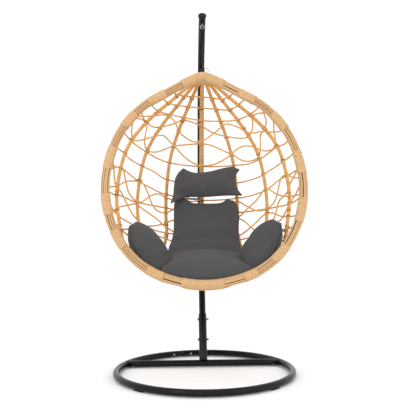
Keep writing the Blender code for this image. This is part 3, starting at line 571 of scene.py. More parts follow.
# Where the long canes of the bundle are left bare, as shares of each half from the apex to the foot.
BARE = {
    "right": [(0.075, 0.130), (0.190, 0.262), (0.325, 0.405), (0.480, 0.557), (0.632, 0.713),
              (0.775, 0.835), (0.877, 0.945)],
    "left": [(0.075, 0.138), (0.200, 0.258), (0.315, 0.390), (0.462, 0.540), (0.605, 0.655),
             (0.715, 0.812), (0.868, 0.925)],
}
BARE_SEEDS = {"right": 40, "left": 60}
RIM_CORE = 0.0165
BUNDLE_RADIUS = 0.0186
BUNDLE_CANES = 11
BAND_RADIUS = 0.0250
# One turn of wound flat cane: shares of its width, and how far each stands out as a share of the swell.
TURN_PROFILE = ((0.0, -1.6), (0.16, -0.1), (0.5, 0.35), (0.84, -0.1))


def bare_canes(shape, fine, start, end, seed):
    """The bundle's long canes where the wrap leaves them bare, each a little out of line."""
    draw = random.Random(seed)
    pad = 0.004
    path = sub_path(fine, max(0.0, start - pad), min(1.0, end + pad), 16)
    frames = frames_along(path, reference=FRONT)
    for k in range(BUNDLE_CANES):
        angle = 2 * math.pi * (k + draw.uniform(-0.20, 0.20)) / BUNDLE_CANES
        reach = BUNDLE_RADIUS + draw.uniform(-0.0012, 0.0008)
        thick = draw.uniform(0.0042, 0.0049)
        sway = draw.uniform(-0.06, 0.06)
        points = [p + polar(side, other, reach, angle + sway * math.sin(math.pi * i / (len(path) - 1)))
                  for i, (p, _, side, other) in enumerate(frames)]
        shape.tube(points, thick, 8, capped=False, start=draw.uniform(0, 9))


def wound_band(shape, path, radius, pitch, sides, swell=0.0007, ends=0.0022, reference=FRONT):
    """Flat cane wound round a path: each turn bulges a little between its two edges."""
    length = path_length(path)
    turns = max(2, round(length / pitch))
    stations = [((n + s) / turns, swell * rise) for n in range(turns) for s, rise in TURN_PROFILE]
    stations.append((1.0, swell * TURN_PROFILE[0][1]))
    rows = []
    count = len(path) - 1
    frames = frames_along(path, reference=reference)
    for share, rise in stations:
        r = radius + rise - ends * (1 - smooth(min(share, 1 - share) * length / 0.003))
        row = []
        for k in range(sides):
            drift = (k / sides) / turns if 1 < share * turns < turns - 1 else 0.0
            at = min(1.0, share + drift) * count
            i = min(int(at), count - 1)
            p, _, side, other = [a.lerp(b, at - i) for a, b in zip(frames[i], frames[i + 1])]
            row.append(shape.add(p + polar(side, other, r, 2 * math.pi * k / sides)))
        rows.append(row)
    shape.rings(rows, [share * turns * pitch for share, _ in stations])


def end_binding(name, path, radius, sides):
    """The long wrap over the rim's apex or foot, where its two halves meet."""
    shape = Shape()
    wound_band(shape, path, radius, WIND_RIM, sides)
    shape.make(name, "basket", "rim_cane", rim_wound)


def build_rim():
    halves = {"right": RIM_FINE, "left": mirrored(RIM_FINE)}
    for side_name, fine in halves.items():
        # The core shows only between the bare canes, and its dark colour is painted shade.
        core = Shape()
        core.tube(sub_path(fine, 0.02, 0.998, 90), RIM_CORE, 16, reference=FRONT)
        core.make("rim_core_" + side_name, "basket", "rim_cane", painted_shade_core)
        bare = BARE[side_name]
        canes = Shape()
        for n, (start, end) in enumerate(bare):
            bare_canes(canes, fine, start, end, BARE_SEEDS[side_name] + n)
        canes.replace("rim_wrap_" + side_name, "rim_long_canes_" + side_name, "basket", "rim_cane",
                      rim_strand)
        bands = Shape()
        for (_, end_of_last), (start_of_next, _) in zip(bare, bare[1:]):
            wound_band(bands, sub_path(fine, end_of_last, start_of_next, 40), BAND_RADIUS, WIND_RIM, 28)
        bands.make("rim_bindings_" + side_name, "basket", "rim_cane", rim_wound)
    apex = (sub_path(halves["left"], BARE["left"][0][0], 0.0, 30)
            + sub_path(halves["right"], 0.0, BARE["right"][0][0], 30)[1:])
    foot = (sub_path(halves["right"], BARE["right"][-1][1], 1.0, 30)
            + sub_path(halves["left"], 1.0, BARE["left"][-1][1], 30)[1:])
    end_binding("rim_apex_binding", apex, BAND_RADIUS + 0.0006, 32)
    end_binding("rim_foot_binding", foot, BAND_RADIUS, 28)


# ---------------------------------------------------------------- ribs

RIB_START = 0.012
RIB_SINK = 0.014


def distance_to_rim(point):
    side = Vector((abs(point.x), point.y, point.z))
    return min((side - p).length for p in RIM_FINE[::4])


def rib_line(name):
    """The rib's centre line from inside the hub to inside the rim's wrap."""
    dense = []
    for k in range(400):
        p = rib_point(name, RIB_START + (RIBS[name][2] - RIB_START) * k / 399)
        if p.z < 1.2 and distance_to_rim(p) < RIB_SINK:
            break
        dense.append(p)
    return even_points(dense, 160)


def build_ribs():
    for name in RIBS:
        shape = Shape()
        wound_band(shape, rib_line(name), RIB_TUBE, WIND_RIB, 12, swell=0.00045, ends=0.001, reference=None)
        shape.replace("rib_" + name, "wound_rib_" + name, "basket", "rib_cane", rib_wound)


# ---------------------------------------------------------------- weave

# Each cane: its layer, positive outside the ribs and negative inside, and its (station, t in thousandths).
WEAVE = [
    (1, [(-4, 92), (-3.4, 110), (-2.9, 120), (-2, 120), (-1, 119), (0, 119), (1, 125), (1.8, 134),
         (2.8, 130), (3.4, 120), (4, 102)]),
    (1, [(-4, 138), (-3.6, 150), (-2.8, 160), (-1.7, 160), (-1, 159), (0, 162), (1, 170), (1.8, 179),
         (2.8, 170), (3.5, 160), (4, 145)]),
    (1, [(-4, 178), (-3.7, 190), (-2.9, 199), (-2, 199), (-1, 200), (0, 208), (1, 215), (1.8, 220),
         (2.8, 216), (3.6, 208), (4, 190)]),
    (-1, [(-4, 258), (-3.8, 250), (-3.3, 225), (-2.8, 202), (-2.2, 196), (-1.8, 204), (-1.4, 220),
          (-1, 248), (-0.4, 275), (0, 276), (0.5, 252), (1, 229), (1.4, 220), (1.9, 242), (2.1, 262),
          (2.5, 276), (2.9, 281), (3.5, 308), (4, 325)]),
    (1, [(-4, 195), (-3.8, 218), (-3.5, 232), (-3, 248), (-2.6, 262), (-2.4, 285), (-2.2, 312), (-1.9, 334),
         (-1.5, 330), (-1, 304), (-0.5, 293), (0, 289), (0.4, 297), (1, 334), (1.3, 358), (1.6, 365),
         (1.9, 359), (2.1, 336), (2.3, 308), (2.5, 290), (2.9, 279), (3.25, 258), (3.5, 232), (4, 205)]),
    (1, [(-4, 310), (-3.8, 292), (-3.6, 266), (-3.2, 250), (-2.7, 251), (-2.2, 254), (-1.7, 241),
         (-1.3, 226), (-0.95, 211), (-0.5, 214), (0, 227), (0.5, 253), (1, 270), (1.6, 285), (1.9, 284),
         (2.2, 270), (2.5, 249), (2.8, 228), (3.2, 225), (3.6, 242), (4, 262)]),
    (-1, [(-4, 272), (-3.7, 291), (-3.3, 312), (-3, 320), (-2.7, 310), (-2.3, 289), (-1.9, 272),
          (-1.6, 272), (-1, 300), (-0.6, 330), (-0.3, 350), (0, 361), (0.4, 358), (0.8, 342), (1.2, 320),
          (1.5, 310), (1.8, 311), (2.1, 325), (2.4, 344), (2.8, 351), (3.1, 340), (3.3, 320), (3.5, 300),
          (4, 272)]),
    (1, [(-4, 330), (-3.4, 320), (-2.9, 325), (-2, 338), (-1.5, 350), (-1, 359), (0, 366), (1, 370),
         (1.5, 373), (2, 365), (2.6, 352), (3, 351), (3.4, 354), (4, 340)]),
    (1, [(-4, 388), (-3.6, 374), (-3, 370), (-2.5, 380), (-1.8, 390), (-1.4, 399), (-1, 416), (0, 428),
         (1, 430), (1.7, 424), (2.3, 410), (3, 400), (4, 396)]),
    (1, [(-4, 446), (-3.6, 434), (-3, 421), (-2.6, 421), (-2, 438), (-1.5, 452), (-1, 466), (0, 480),
         (1, 481), (1.5, 478), (2, 469), (2.5, 452), (3, 449), (4, 447)]),
    (-1, [(-4, 466), (-3.7, 446), (-3.2, 424), (-2.95, 428), (-2.7, 460), (-2.5, 490), (-2.2, 508),
          (-1.9, 508), (-1.6, 482), (-1.3, 470), (-1, 480), (-0.5, 494), (0, 501), (1, 495), (1.3, 512),
          (1.7, 538), (2.1, 538), (2.4, 520), (2.6, 485), (2.8, 455), (3.1, 450), (3.5, 474), (4, 492)]),
    (-1.5, [(-4, 436), (-3.7, 452), (-3.4, 486), (-3, 500), (-2.7, 526), (-2.4, 560), (-2, 588),
            (-1.4, 604), (-0.6, 610)]),
    (1, [(-1.8, 436), (-2.4, 450), (-2.9, 479), (-3.3, 495), (-3.45, 508), (-3.1, 510), (-2.6, 504),
         (-2, 509), (-1.4, 509), (-0.8, 514), (0, 529), (1, 530), (1.8, 532), (2.4, 536), (3, 540),
         (4, 530)]),
    (1, [(-4, 492), (-3.6, 525), (-3.2, 554), (-3, 560), (-2.7, 541), (-2.3, 526), (-2, 516), (-1.7, 528),
         (-1.3, 550), (-1, 575), (-0.6, 600), (0, 616), (0.7, 618), (1.1, 606), (1.5, 578), (1.8, 553),
         (2.1, 550), (2.5, 570), (3, 584), (4, 600)]),
    (1, [(-4, 575), (-3.3, 561), (-2.7, 576), (-2, 591), (-1, 618), (0, 650), (1, 626), (2, 618), (3, 622),
         (4, 632)]),
    (1, [(-4, 616), (-3.3, 605), (-2.5, 628), (-1.7, 652), (-1, 672), (0, 694), (1, 680), (2, 666),
         (3, 662), (4, 672)]),
    (-1, [(-1.9, 446), (-1.7, 472), (-1.5, 512), (-1.3, 530), (-1, 531), (-0.7, 513), (0, 512), (0.5, 533),
          (1, 551), (1.4, 522), (1.7, 500), (2, 472), (2.2, 474), (2.5, 498), (3, 520), (4, 545)]),
    (-1, [(-4, 640), (-3, 630), (-2.1, 598), (-1.5, 585), (-1.1, 572), (-0.8, 556), (0, 541), (0.8, 554),
          (1.2, 562), (1.7, 612), (2.2, 642), (3, 640), (4, 650)]),
    (-1, [(2.3, 600), (2.45, 568), (2.6, 525), (3, 508), (3.3, 480), (4, 456)]),
    (-1, [(1.8, 640), (2.5, 602), (2.8, 590), (3, 566), (3.3, 540), (4, 510)]),
    (1, [(-4, 672), (-3, 690), (-2, 706), (-1, 730), (0, 742), (1, 734), (2, 712), (3, 702), (4, 710)]),
    (-1, [(-4, 716), (-3, 700), (-2, 722), (-1.5, 752), (-1, 742), (-0.5, 716), (0, 712), (0.5, 735),
          (1, 762), (1.5, 750), (2, 728), (3, 728), (4, 745)]),
    (1, [(-4, 760), (-2, 762), (-1, 790), (0, 800), (1, 792), (2, 770), (4, 775)]),
    (-1, [(-4, 800), (-2, 790), (-1, 805), (-0.5, 842), (0, 852), (0.5, 836), (1, 810), (2, 800),
          (4, 820)]),
    (1, [(-4, 838), (-1, 850), (0, 880), (1, 856), (4, 846)]),
    (1, [(-4, 905), (0, 925), (4, 900)]),
]
LAYER = RIB_TUBE + STRAND + 0.0004
CANE_STEP = 0.009
KNOT_TURNS = 1.9
KNOT_PITCH = 0.0046
KNOT_CANE = 0.0021
KNOT_SPACING = 0.008
# The dark wraps at the knots, which are painted shade: how far round they go, how wide they are and how
# thick their cane is.
SHADE_WRAP_TURNS = 1.15
SHADE_WRAP_WIDE = 0.004
SHADE_WRAP_CANE = 0.0014
WEAVE_NODES = 7


def weave_point(station, t, layer):
    bearing = station_bearing(station, t)
    return shell_point(bearing, t) + shell_outward(bearing, t) * LAYER * layer


def weave_line(route, layer):
    """The cane's centre line, and the same line flat as (quarter stations, t)."""
    flat = curve_through([(s / 4.0, t / 1000, 0) for s, t in route], 20 * len(route))
    points = [weave_point(p.x * 4.0, p.y, layer) for p in flat]
    return even_points(points, max(12, int(path_length(points) / CANE_STEP))), flat


def wind_round(centre, axes, begin, turns, steps, reach, rise):
    """Points of a short coil round a rib; reach gives the distance from its centre line."""
    side, other, along = axes
    return [centre + polar(side, other, reach(), begin + 2 * math.pi * turns * k / steps)
            + along * rise * (k / steps - 0.5) for k in range(steps + 1)]


def knot(cane, wrap, name, t, seed):
    """Where a cane crosses a rib: it takes two turns round the rib, and some crossings get a short dark
    wrap, painted shade where the cane loops round the rib.
    """
    draw = random.Random(seed)
    centre = rib_point(name, t)
    along = (rib_point(name, t + 0.004) - centre).normalized()
    side = along.cross(shell_outward(rib_bearing(name, t), t)).normalized()
    axes = (side, along.cross(side), along)
    pitch = KNOT_PITCH * draw.choice((-1, 1))
    begin = draw.uniform(0, 6.28)
    turns = wind_round(centre, axes, begin, KNOT_TURNS, 26,
                       lambda: RIB_TUBE + 0.0012 + draw.uniform(-0.0002, 0.0003), pitch * KNOT_TURNS)
    cane.tube(turns, KNOT_CANE, 6)
    # The dark wrap is painted shade where the cane loops round the rib.
    if wrap:
        shifted = centre + along * draw.uniform(-0.006, 0.006)
        band = wind_round(shifted, axes, begin, SHADE_WRAP_TURNS, 14, lambda: RIB_TUBE + 0.0022, SHADE_WRAP_WIDE)
        wrap.tube(band, SHADE_WRAP_CANE, 5)


def crossings(flat):
    """(rib name, t) wherever a route crosses a rib."""
    found = []
    for a, b in zip(flat, flat[1:]):
        s0 = a.x * 4.0
        s1 = b.x * 4.0
        for rib, name in enumerate(RIBS, -3):
            if (s0 - rib) * (s1 - rib) <= 0 and s0 != s1:
                t = a.y + (b.y - a.y) * (rib - s0) / (s1 - s0)
                if t < RIBS[name][2] - 0.03:
                    found.append((name, t))
    return found


def build_weave():
    groups = [Shape() for _ in range(WEAVE_NODES)]
    knots = Shape()
    knot_shade_wraps = Shape()
    draw = random.Random(5)
    tied = []
    for n, (layer, route) in enumerate(WEAVE):
        points, flat = weave_line(route, layer)
        phase = draw.uniform(0, 50)
        groups[n % WEAVE_NODES].tube(
            points, lambda u, a, p=phase: STRAND * (1 + 0.10 * noise.noise(Vector((u * 40, p, 0)))), 8,
            start=phase)
        for name, t in crossings(flat):
            if all(name != other or abs(t - u) > KNOT_SPACING for other, u in tied):
                tied.append((name, t))
    for k, (name, t) in enumerate(tied):
        knot(knots, knot_shade_wraps if k % 5 in (0, 2) else None, name, t, 300 + k)
    for k, shape in enumerate(groups, 1):
        shape.replace("weave_cane_%d" % k, "woven_canes_%d" % k, "basket", "weave_cane", weave_cane)
    knots.make("cane_knots", "basket", "weave_cane", knot_cane)
    # The dark wraps at some knots are painted shade where canes loop round the ribs.
    knot_shade_wraps.make("knot_painted_shade_wraps", "basket", "weave_cane", knot_shade_material)


# ---------------------------------------------------------------- hub

HUB_TURNS = 15
HUB_SIDES = 28
HUB_FRONT_Y = -0.040
HUB_SHOULDER_Y = -0.016
HUB_PROFILE = ((0.0, -0.0012), (0.2, 0.0), (0.5, 0.0004), (0.8, 0.0))


def boxy(value, power):
    return math.copysign(abs(value) ** power, value)


def build_hub():
    """The plate behind the apex, wound over with flat cane from side to side."""
    low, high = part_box("top_hub")
    wide = high.x
    middle_z = (low.z + high.z) / 2
    half_z = (high.z - low.z) / 2
    shape = Shape()
    rows = []
    alongs = []
    for n in range(HUB_TURNS):
        for s, rise in HUB_PROFILE:
            x = -wide + 2 * wide * (n + s) / HUB_TURNS
            share = min(0.995, abs(x) / wide)
            back = HUB_SHOULDER_Y + (high.y - HUB_SHOULDER_Y) * math.sqrt(1 - share * share)
            half_y = (back - HUB_FRONT_Y) / 2 + rise
            row = []
            for k in range(HUB_SIDES):
                angle = 2 * math.pi * k / HUB_SIDES
                row.append(shape.add((x, (back + HUB_FRONT_Y) / 2 + half_y * boxy(math.cos(angle), 0.55),
                                      middle_z + (half_z + rise) * boxy(math.sin(angle), 0.7))))
            rows.append(row)
            alongs.append((n + s) * WIND_RIM)
    shape.rings(rows, alongs)
    shape.replace("top_hub", "wound_hub", "basket", "rim_cane", rim_wound)


# ---------------------------------------------------------------- stand

RING_RADIUS = 0.4745
RING_TUBE = 0.018
RING_Z = 0.0215
RING_JOINT_DEG = 105.0
RING_SLIT_DEG = 0.06
BAR_Y = 0.187
BAR_TUBE = 0.0182
BAR_END_X = 0.432
LEAN = math.radians(24.0)
STRAIGHT = 0.33
POST_BACK_Y = 0.4725
ARM_END_Y = -0.020
ARM_END_Z = 1.930
POST_TUBE = 0.0190
SOCKET_TUBE = 0.0228
SOCKET_BORE = 0.0204
SOCKET_START = 0.014
SOCKET_END = 0.286
POST_START = 0.060
JOIN_AT = 1.060
JOIN_GAP = 0.0006
JOIN_NECK = 0.02
NECK_TUBE = POST_TUBE - 0.0012
EDGE_EASE = 0.0009
EDGE_LENGTH = 0.0016
EDGE_RINGS = (0.0008, 0.0018)
WELD_RIPPLE = 0.0042
BAR_WELD = 0.0011
SOCKET_WELD = 0.0019
SOCKET_WELD_LOW = 0.0145
BAR_MIDDLE = Vector((0, BAR_Y, RING_Z))
LEANING = Vector((0, math.sin(LEAN), math.cos(LEAN)))
BEND_START = BAR_MIDDLE + LEANING * STRAIGHT
LOWER_BEND = (POST_BACK_Y - BEND_START.y) / (1 - math.cos(LEAN))
BACK_Z = BEND_START.z + LOWER_BEND * math.sin(LEAN)
UPPER_TURN = 2 * math.atan((POST_BACK_Y - ARM_END_Y) / (ARM_END_Z - BACK_Z))
UPPER_BEND = (ARM_END_Z - BACK_Z) / math.sin(UPPER_TURN)
LOWER_LENGTH = STRAIGHT + LOWER_BEND * LEAN
POST_LENGTH = LOWER_LENGTH + UPPER_BEND * UPPER_TURN


def post_point(s):
    """Centre line of the post, s metres along it from the middle of the crossbar."""
    if s <= STRAIGHT:
        return BAR_MIDDLE + LEANING * s
    bend = LOWER_BEND if s <= LOWER_LENGTH else UPPER_BEND
    angle = (s - LOWER_LENGTH) / bend
    return Vector((0, POST_BACK_Y - bend * (1 - math.cos(angle)), BACK_Z + bend * math.sin(angle)))


def post_line(start, end, count):
    return [post_point(start + (end - start) * k / (count - 1)) for k in range(count)]


def soft_ended(length, radius):
    """A tube's radius along its length, with its two cut edges eased."""
    return lambda along, _: radius - EDGE_EASE * (1 - smooth(min(along, length - along) / EDGE_LENGTH))


def eased_tube(shape, points, radius):
    """A long tube with close rings at its two ends, where its cut edges are eased."""
    length = path_length(points)
    line = [points[0]] + [at_length(points, s) for s in EDGE_RINGS] + points[1:-1]
    line += [at_length(points, length - s) for s in reversed(EDGE_RINGS)] + [points[-1]]
    shape.tube(line, soft_ended(length, radius), 32, reference=ACROSS)


def weld_bead(shape, points, radius, seed):
    """A run of weld: overlapping puddles along a closed line."""
    phase = random.Random(seed).uniform(0, 9)
    shape.tube(points, lambda u, a: radius * (1 + 0.16 * math.sin(u * 2 * math.pi / WELD_RIPPLE + phase)
                                              + 0.10 * noise.noise(Vector((u * 160, a, phase)))),
               8, closed=True)


def build_base():
    ring = Shape()
    joint = RING_JOINT_DEG + RING_SLIT_DEG
    line = arc(ACROSS, BACK, UP * RING_Z, RING_RADIUS, joint, joint + 360 - 2 * RING_SLIT_DEG, 181)
    ring.tube(line, soft_ended(2 * math.pi * RING_RADIUS, RING_TUBE), 32, reference=UP)
    ring.replace("base_ring", "ring_tube", "stand", "powder_coat", powder)
    bar = Shape()
    bar.tube([BAR_MIDDLE + ACROSS * BAR_END_X * k / 6 for k in range(-6, 7)], BAR_TUBE, 32, reference=UP)
    for sign in (-1, 1):
        bead = []
        for k in range(72):
            a = 2 * math.pi * k / 72
            z = 0.98 * RING_TUBE * math.cos(a)
            y = BAR_Y + BAR_TUBE * math.sin(a)
            reach = RING_RADIUS - math.sqrt(RING_TUBE ** 2 - z * z)
            bead.append(Vector((sign * math.sqrt(reach * reach - y * y), y, RING_Z + z)))
        weld_bead(bar, bead, BAR_WELD, 3 + sign)
    bar.replace("crossbar", "crossbar_tube", "stand", "powder_coat", powder)


def build_socket():
    socket = Shape()
    third = ACROSS.cross(LEANING)
    line = [BAR_MIDDLE + LEANING * (SOCKET_START + (SOCKET_END - SOCKET_START) * k / 12) for k in range(13)]
    eased_tube(socket, line, SOCKET_TUBE)
    turned(socket, line[-1] + LEANING * 0.00015, -LEANING,
           [(0.0, SOCKET_BORE), (0.0006, SOCKET_BORE - 0.0003), (0.012, SOCKET_BORE - 0.0004)], 28)
    bead = []
    for k in range(96):
        a = 2 * math.pi * k / 96
        depth = BAR_TUBE ** 2 - (SOCKET_TUBE * math.sin(a)) ** 2
        rise = max(SOCKET_WELD_LOW, math.sqrt(max(0.0, depth)))
        bead.append(BAR_MIDDLE + LEANING * rise + polar(ACROSS, third, SOCKET_TUBE, a))
    weld_bead(socket, bead, SOCKET_WELD, 8)
    socket.replace("post_socket", "socket_tube", "stand", "powder_coat", powder)


def build_post():
    lower = Shape()
    eased_tube(lower, post_line(POST_START, JOIN_AT, 61), POST_TUBE)
    lower.replace("lower_post", "lower_post_tube", "stand", "powder_coat", powder)
    upper = Shape()
    eased_tube(upper, post_line(JOIN_AT + JOIN_GAP, POST_LENGTH, 91), POST_TUBE)
    upper.tube(post_line(JOIN_AT - JOIN_NECK, JOIN_AT + JOIN_NECK, 5), NECK_TUBE, 28, reference=ACROSS)
    upper.replace("upper_post", "upper_post_tube", "stand", "powder_coat", powder)
    end = post_point(POST_LENGTH)
    along = (end - post_point(POST_LENGTH - 0.002)).normalized()
    cap = Shape()
    dome = [(0.0, 0.0155), (0.0074, 0.0165), (0.0074, 0.0212), (0.0079, 0.0220), (0.0090, 0.0226),
            (0.0124, 0.0226), (0.0136, 0.0222), (0.0146, 0.0212), (0.0160, 0.0188), (0.0170, 0.0157),
            (0.0177, 0.0120), (0.0181, 0.0076), (0.0183, 0.0030)]
    turned(cap, end - along * 0.007, along, dome, 40)
    cap.replace("arm_end_cap", "arm_cap", "stand", "black_plastic", plastic)


# ---------------------------------------------------------------- hanging hardware

EYE_WIRE = 0.0035
EYE_BEND = 0.009
BAR_WIRE = 0.002
BAR_BEND = 0.0065
# Both rods are drawn a little thinner than in the CAD, so the loop clears the eye at the end of its swing.
EYE_ROD = 0.0032
BAR_ROD = 0.0018
# The draw bar's foot: how far out from its leg and how high over its end the bend passes.
BAR_FOOT = ((0.0050, 0), (0.0036, 0), (0.0022, 0), (0.0011, 0.0005), (0.0004, 0.0014), (0, 0.0030))
SHANK = 0.0030
THREAD_ROOT = 0.0026
THREAD_PITCH = 0.0010
THREAD_START = 0.004
COIL_RADIUS = 0.0115
COIL_WIRE = 0.0020
COIL_TOP = 1.860
COIL_BOTTOM = 1.802
COIL_TURNS = 8
COIL_STEPS = 28
# The top and bottom turns lie closer to the next one than the turns between them.
COIL_END_RISE = 0.725
LINK_WIRE = 0.002
LINK_HALF_WIDTH = 0.006
LINK_HEIGHT = 0.0309
LINK_COUNT = 5
SNAP_WIRE = 0.003
SNAP_BEND = 0.0100
BASKET_EYE_WIRE = 0.004
BASKET_EYE_BEND = 0.012
TIE_TAIL = 0.0013


def build_draw_bar(node, name, body, direction, sideways):
    """A hairpin wire through the coil: a round loop, two legs, and feet that hook the coil's far end."""
    low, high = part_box(node)
    loop_z = high.z - BAR_WIRE if direction > 0 else low.z + BAR_WIRE
    foot = UP * (low.z + BAR_WIRE if direction > 0 else high.z - BAR_WIRE)
    centre = UP * (loop_z - direction * BAR_BEND)
    up = UP * direction
    right = [foot + sideways * (BAR_BEND + out) + up * rise for out, rise in BAR_FOOT]
    left = [Vector((-p.x, -p.y, p.z)) for p in reversed(right)]
    shape = Shape()
    shape.tube(right + arc(sideways, up, centre, BAR_BEND, 0, 180, 20) + left, BAR_ROD, 12)
    shape.replace(node, name, body, "black_steel", black_wire)


def build_eye_bolt():
    low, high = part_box("eye_bolt")
    eye = Shape()
    centre = UP * (low.z + EYE_WIRE + EYE_BEND)
    eye.tube(circle(centre, ACROSS, UP, EYE_BEND, 40), EYE_ROD, 16, closed=True)
    shank = centre.z + EYE_BEND - 0.001
    threads = [(0.0, SHANK)]
    thread = THREAD_START
    while shank + thread < high.z - 0.001:
        threads += [(thread, SHANK), (thread + THREAD_PITCH / 2, THREAD_ROOT)]
        thread += THREAD_PITCH
    threads.append((high.z - shank, 0.0024))
    turned(eye, UP * shank, UP, threads, 20)
    eye.replace("eye_bolt", "eye_bolt_forged", "stand", "zinc_plate", zinc)


def build_coil():
    line = []
    rise = COIL_TOP - COIL_BOTTOM - 2 * COIL_WIRE
    for k in range(COIL_TURNS * COIL_STEPS + 1):
        turn = k / COIL_STEPS
        share = turn * (COIL_END_RISE if turn < 1 else 1) / COIL_TURNS
        line.append(UP * (COIL_BOTTOM + COIL_WIRE + rise * share)
                    + polar(ACROSS, BACK, COIL_RADIUS, 2 * math.pi * turn + 0.4))
    spring = Shape()
    spring.tube(line, COIL_WIRE, 10, reference=UP)
    piece = spring.replace("spring_coil", "coil_wire", "spring_upper", "black_steel", black_wire)
    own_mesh(piece)


def build_chain():
    for n in range(LINK_COUNT):
        node = "chain_link_%d" % (n + 1)
        low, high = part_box(node)
        middle = UP * ((low.z + high.z) / 2)
        sideways = (BACK, ACROSS)[n % 2]
        reach = UP * (LINK_HEIGHT / 2 - LINK_HALF_WIDTH)
        line = arc(sideways, UP, middle + reach, LINK_HALF_WIDTH, 0, 180, 14)
        line += [middle + reach * s - sideways * LINK_HALF_WIDTH for s in (0.3, -0.3)]
        line += arc(sideways, UP, middle - reach, LINK_HALF_WIDTH, 180, 360, 14)
        line += [middle + reach * s + sideways * LINK_HALF_WIDTH for s in (-0.3, 0.3)]
        link = Shape()
        link.tube(line, LINK_WIRE, 12, closed=True)
        link.replace(node, "link_%d" % (n + 1), "chain", "black_steel", black_wire)


def build_snap_hook():
    """A snap hook: a bent wire open on the right, and the sprung gate that closes it."""
    low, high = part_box("snap_hook")
    high_centre = UP * (high.z - SNAP_WIRE - SNAP_BEND)
    low_centre = UP * (low.z + SNAP_WIRE + SNAP_BEND)
    line = arc(ACROSS, UP, high_centre, SNAP_BEND, 12, 180, 22)
    line += [high_centre.lerp(low_centre, k / 4) - ACROSS * SNAP_BEND for k in (1, 2, 3)]
    line += arc(ACROSS, UP, low_centre, SNAP_BEND, 180, 352, 22)
    hook = Shape()
    hook.tube(line, SNAP_WIRE, 14, reference=BACK)
    hook.replace("snap_hook", "snap_hook_wire", "snap_hook", "black_steel", black_wire)
    low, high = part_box("snap_hook_gate")
    length = high.z - low.z
    gate = Shape()
    turned(gate, Vector((SNAP_BEND, 0, low.z)), UP,
           [(0.0, 0.0014), (0.0006, 0.0021), (0.0020, 0.0024), (0.0040, 0.0026), (length - 0.003, 0.0026),
            (length - 0.0006, 0.0021), (length, 0.0014)], 16)
    gate.replace("snap_hook_gate", "snap_hook_gate_sleeve", "gate", "black_steel", black_wire)


def build_basket_eye():
    low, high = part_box("basket_eye")
    feet = low.z + 0.0006
    centre = UP * (high.z - BASKET_EYE_WIRE - BASKET_EYE_BEND)
    leg = [Vector((0, BASKET_EYE_BEND, z)) for z in (feet, (feet + centre.z) / 2)]
    other_leg = [Vector((0, -p.y, p.z)) for p in reversed(leg)]
    eye = Shape()
    eye.tube(leg + arc(BACK, UP, centre, BASKET_EYE_BEND, 0, 180, 22) + other_leg, BASKET_EYE_WIRE, 14,
             reference=ACROSS)
    eye.replace("basket_eye", "basket_eye_rod", "basket", "black_steel", black_wire)


def build_cable_tie():
    """The tie's tail, which sticks out at the hook, and the head that it comes out of."""
    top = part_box("snap_hook")[1].z - SNAP_WIRE
    tail = Shape()
    line = curve_through([(0.0070, -0.0043, top - 0.0030), (0.0120, -0.0100, top - 0.0010),
                          (0.0200, -0.0180, top - 0.0035), (0.0290, -0.0270, top - 0.0140),
                          (0.0330, -0.0330, top - 0.0240)], 24)
    tail.tube(line, TIE_TAIL, 8)
    turned(tail, line[1], line[2] - line[1],
           [(0.0, TIE_TAIL), (0.0003, 0.0021), (0.0030, 0.0021), (0.0034, TIE_TAIL)], 10)
    tail.replace("cable_tie", "cable_tie_tail", "snap_hook", "black_plastic", plastic)


# ---------------------------------------------------------------- cushions

CLOTH_FRAMES = 20
CLOTH_REACH = 0.024
SEAM_RADIUS = 0.0019
CALM_STEP = 0.6
PUCKER = 0.0016
RUMPLE = 0.004
CROWN_POWER = 0.42
CUT_SHARE = 0.80


def coons(bottom, right, top, left, u, v):
    """A point inside four joined edges. Bottom and top run to the right, left and right run up."""
    across = at_share(bottom, u) * (1 - v) + at_share(top, u) * v
    upward = at_share(left, v) * (1 - u) + at_share(right, v) * u
    corners = (bottom[0] * ((1 - u) * (1 - v)) + bottom[-1] * (u * (1 - v)) + top[0] * ((1 - u) * v)
               + top[-1] * (u * v))
    return across + upward - corners


def inflate(thing, seam, pressure, slack):
    """Blows a sewn shell up with cloth simulation, its seam held, and keeps each point within reach."""
    group = thing.vertex_groups.new(name="seam")
    group.add(seam, 1.0, "REPLACE")
    cloth = thing.modifiers.new("Cloth", "CLOTH")
    settings = cloth.settings
    settings.quality = 6
    settings.mass = 0.15
    settings.tension_stiffness = 14
    settings.compression_stiffness = 14
    settings.shear_stiffness = 6
    settings.bending_stiffness = 0.25
    settings.use_pressure = True
    settings.uniform_pressure_force = pressure
    settings.vertex_group_mass = "seam"
    settings.shrink_min = -slack
    settings.effector_weights.gravity = 0
    cloth.collision_settings.use_collision = False
    cloth.point_cache.frame_start = 1
    cloth.point_cache.frame_end = CLOTH_FRAMES
    for step in range(1, CLOTH_FRAMES + 1):
        bpy.context.scene.frame_set(step)
    shaped = thing.evaluated_get(bpy.context.evaluated_depsgraph_get()).to_mesh()
    moves = [b.co - a.co for a, b in zip(thing.data.vertices, shaped.vertices)]
    thing.modifiers.remove(cloth)
    bpy.context.scene.frame_set(1)
    for v, move in zip(thing.data.vertices, moves):
        v.co += move * (CLOTH_REACH / max(move.length, CLOTH_REACH))


def calm(thing, seam, rounds):
    """Evens out the cloth's small folds: each point off the seam moves towards its neighbours."""
    mesh = thing.data
    beside = [[] for _ in mesh.vertices]
    for edge in mesh.edges:
        a, b = edge.vertices
        beside[a].append(b)
        beside[b].append(a)
    held = set(seam)
    points = [v.co.copy() for v in mesh.vertices]
    for _ in range(rounds):
        points = [p if k in held
                  else p.lerp(sum((points[n] for n in beside[k]), Vector()) / len(beside[k]), CALM_STEP)
                  for k, p in enumerate(points)]
    for v, p in zip(mesh.vertices, points):
        v.co = p


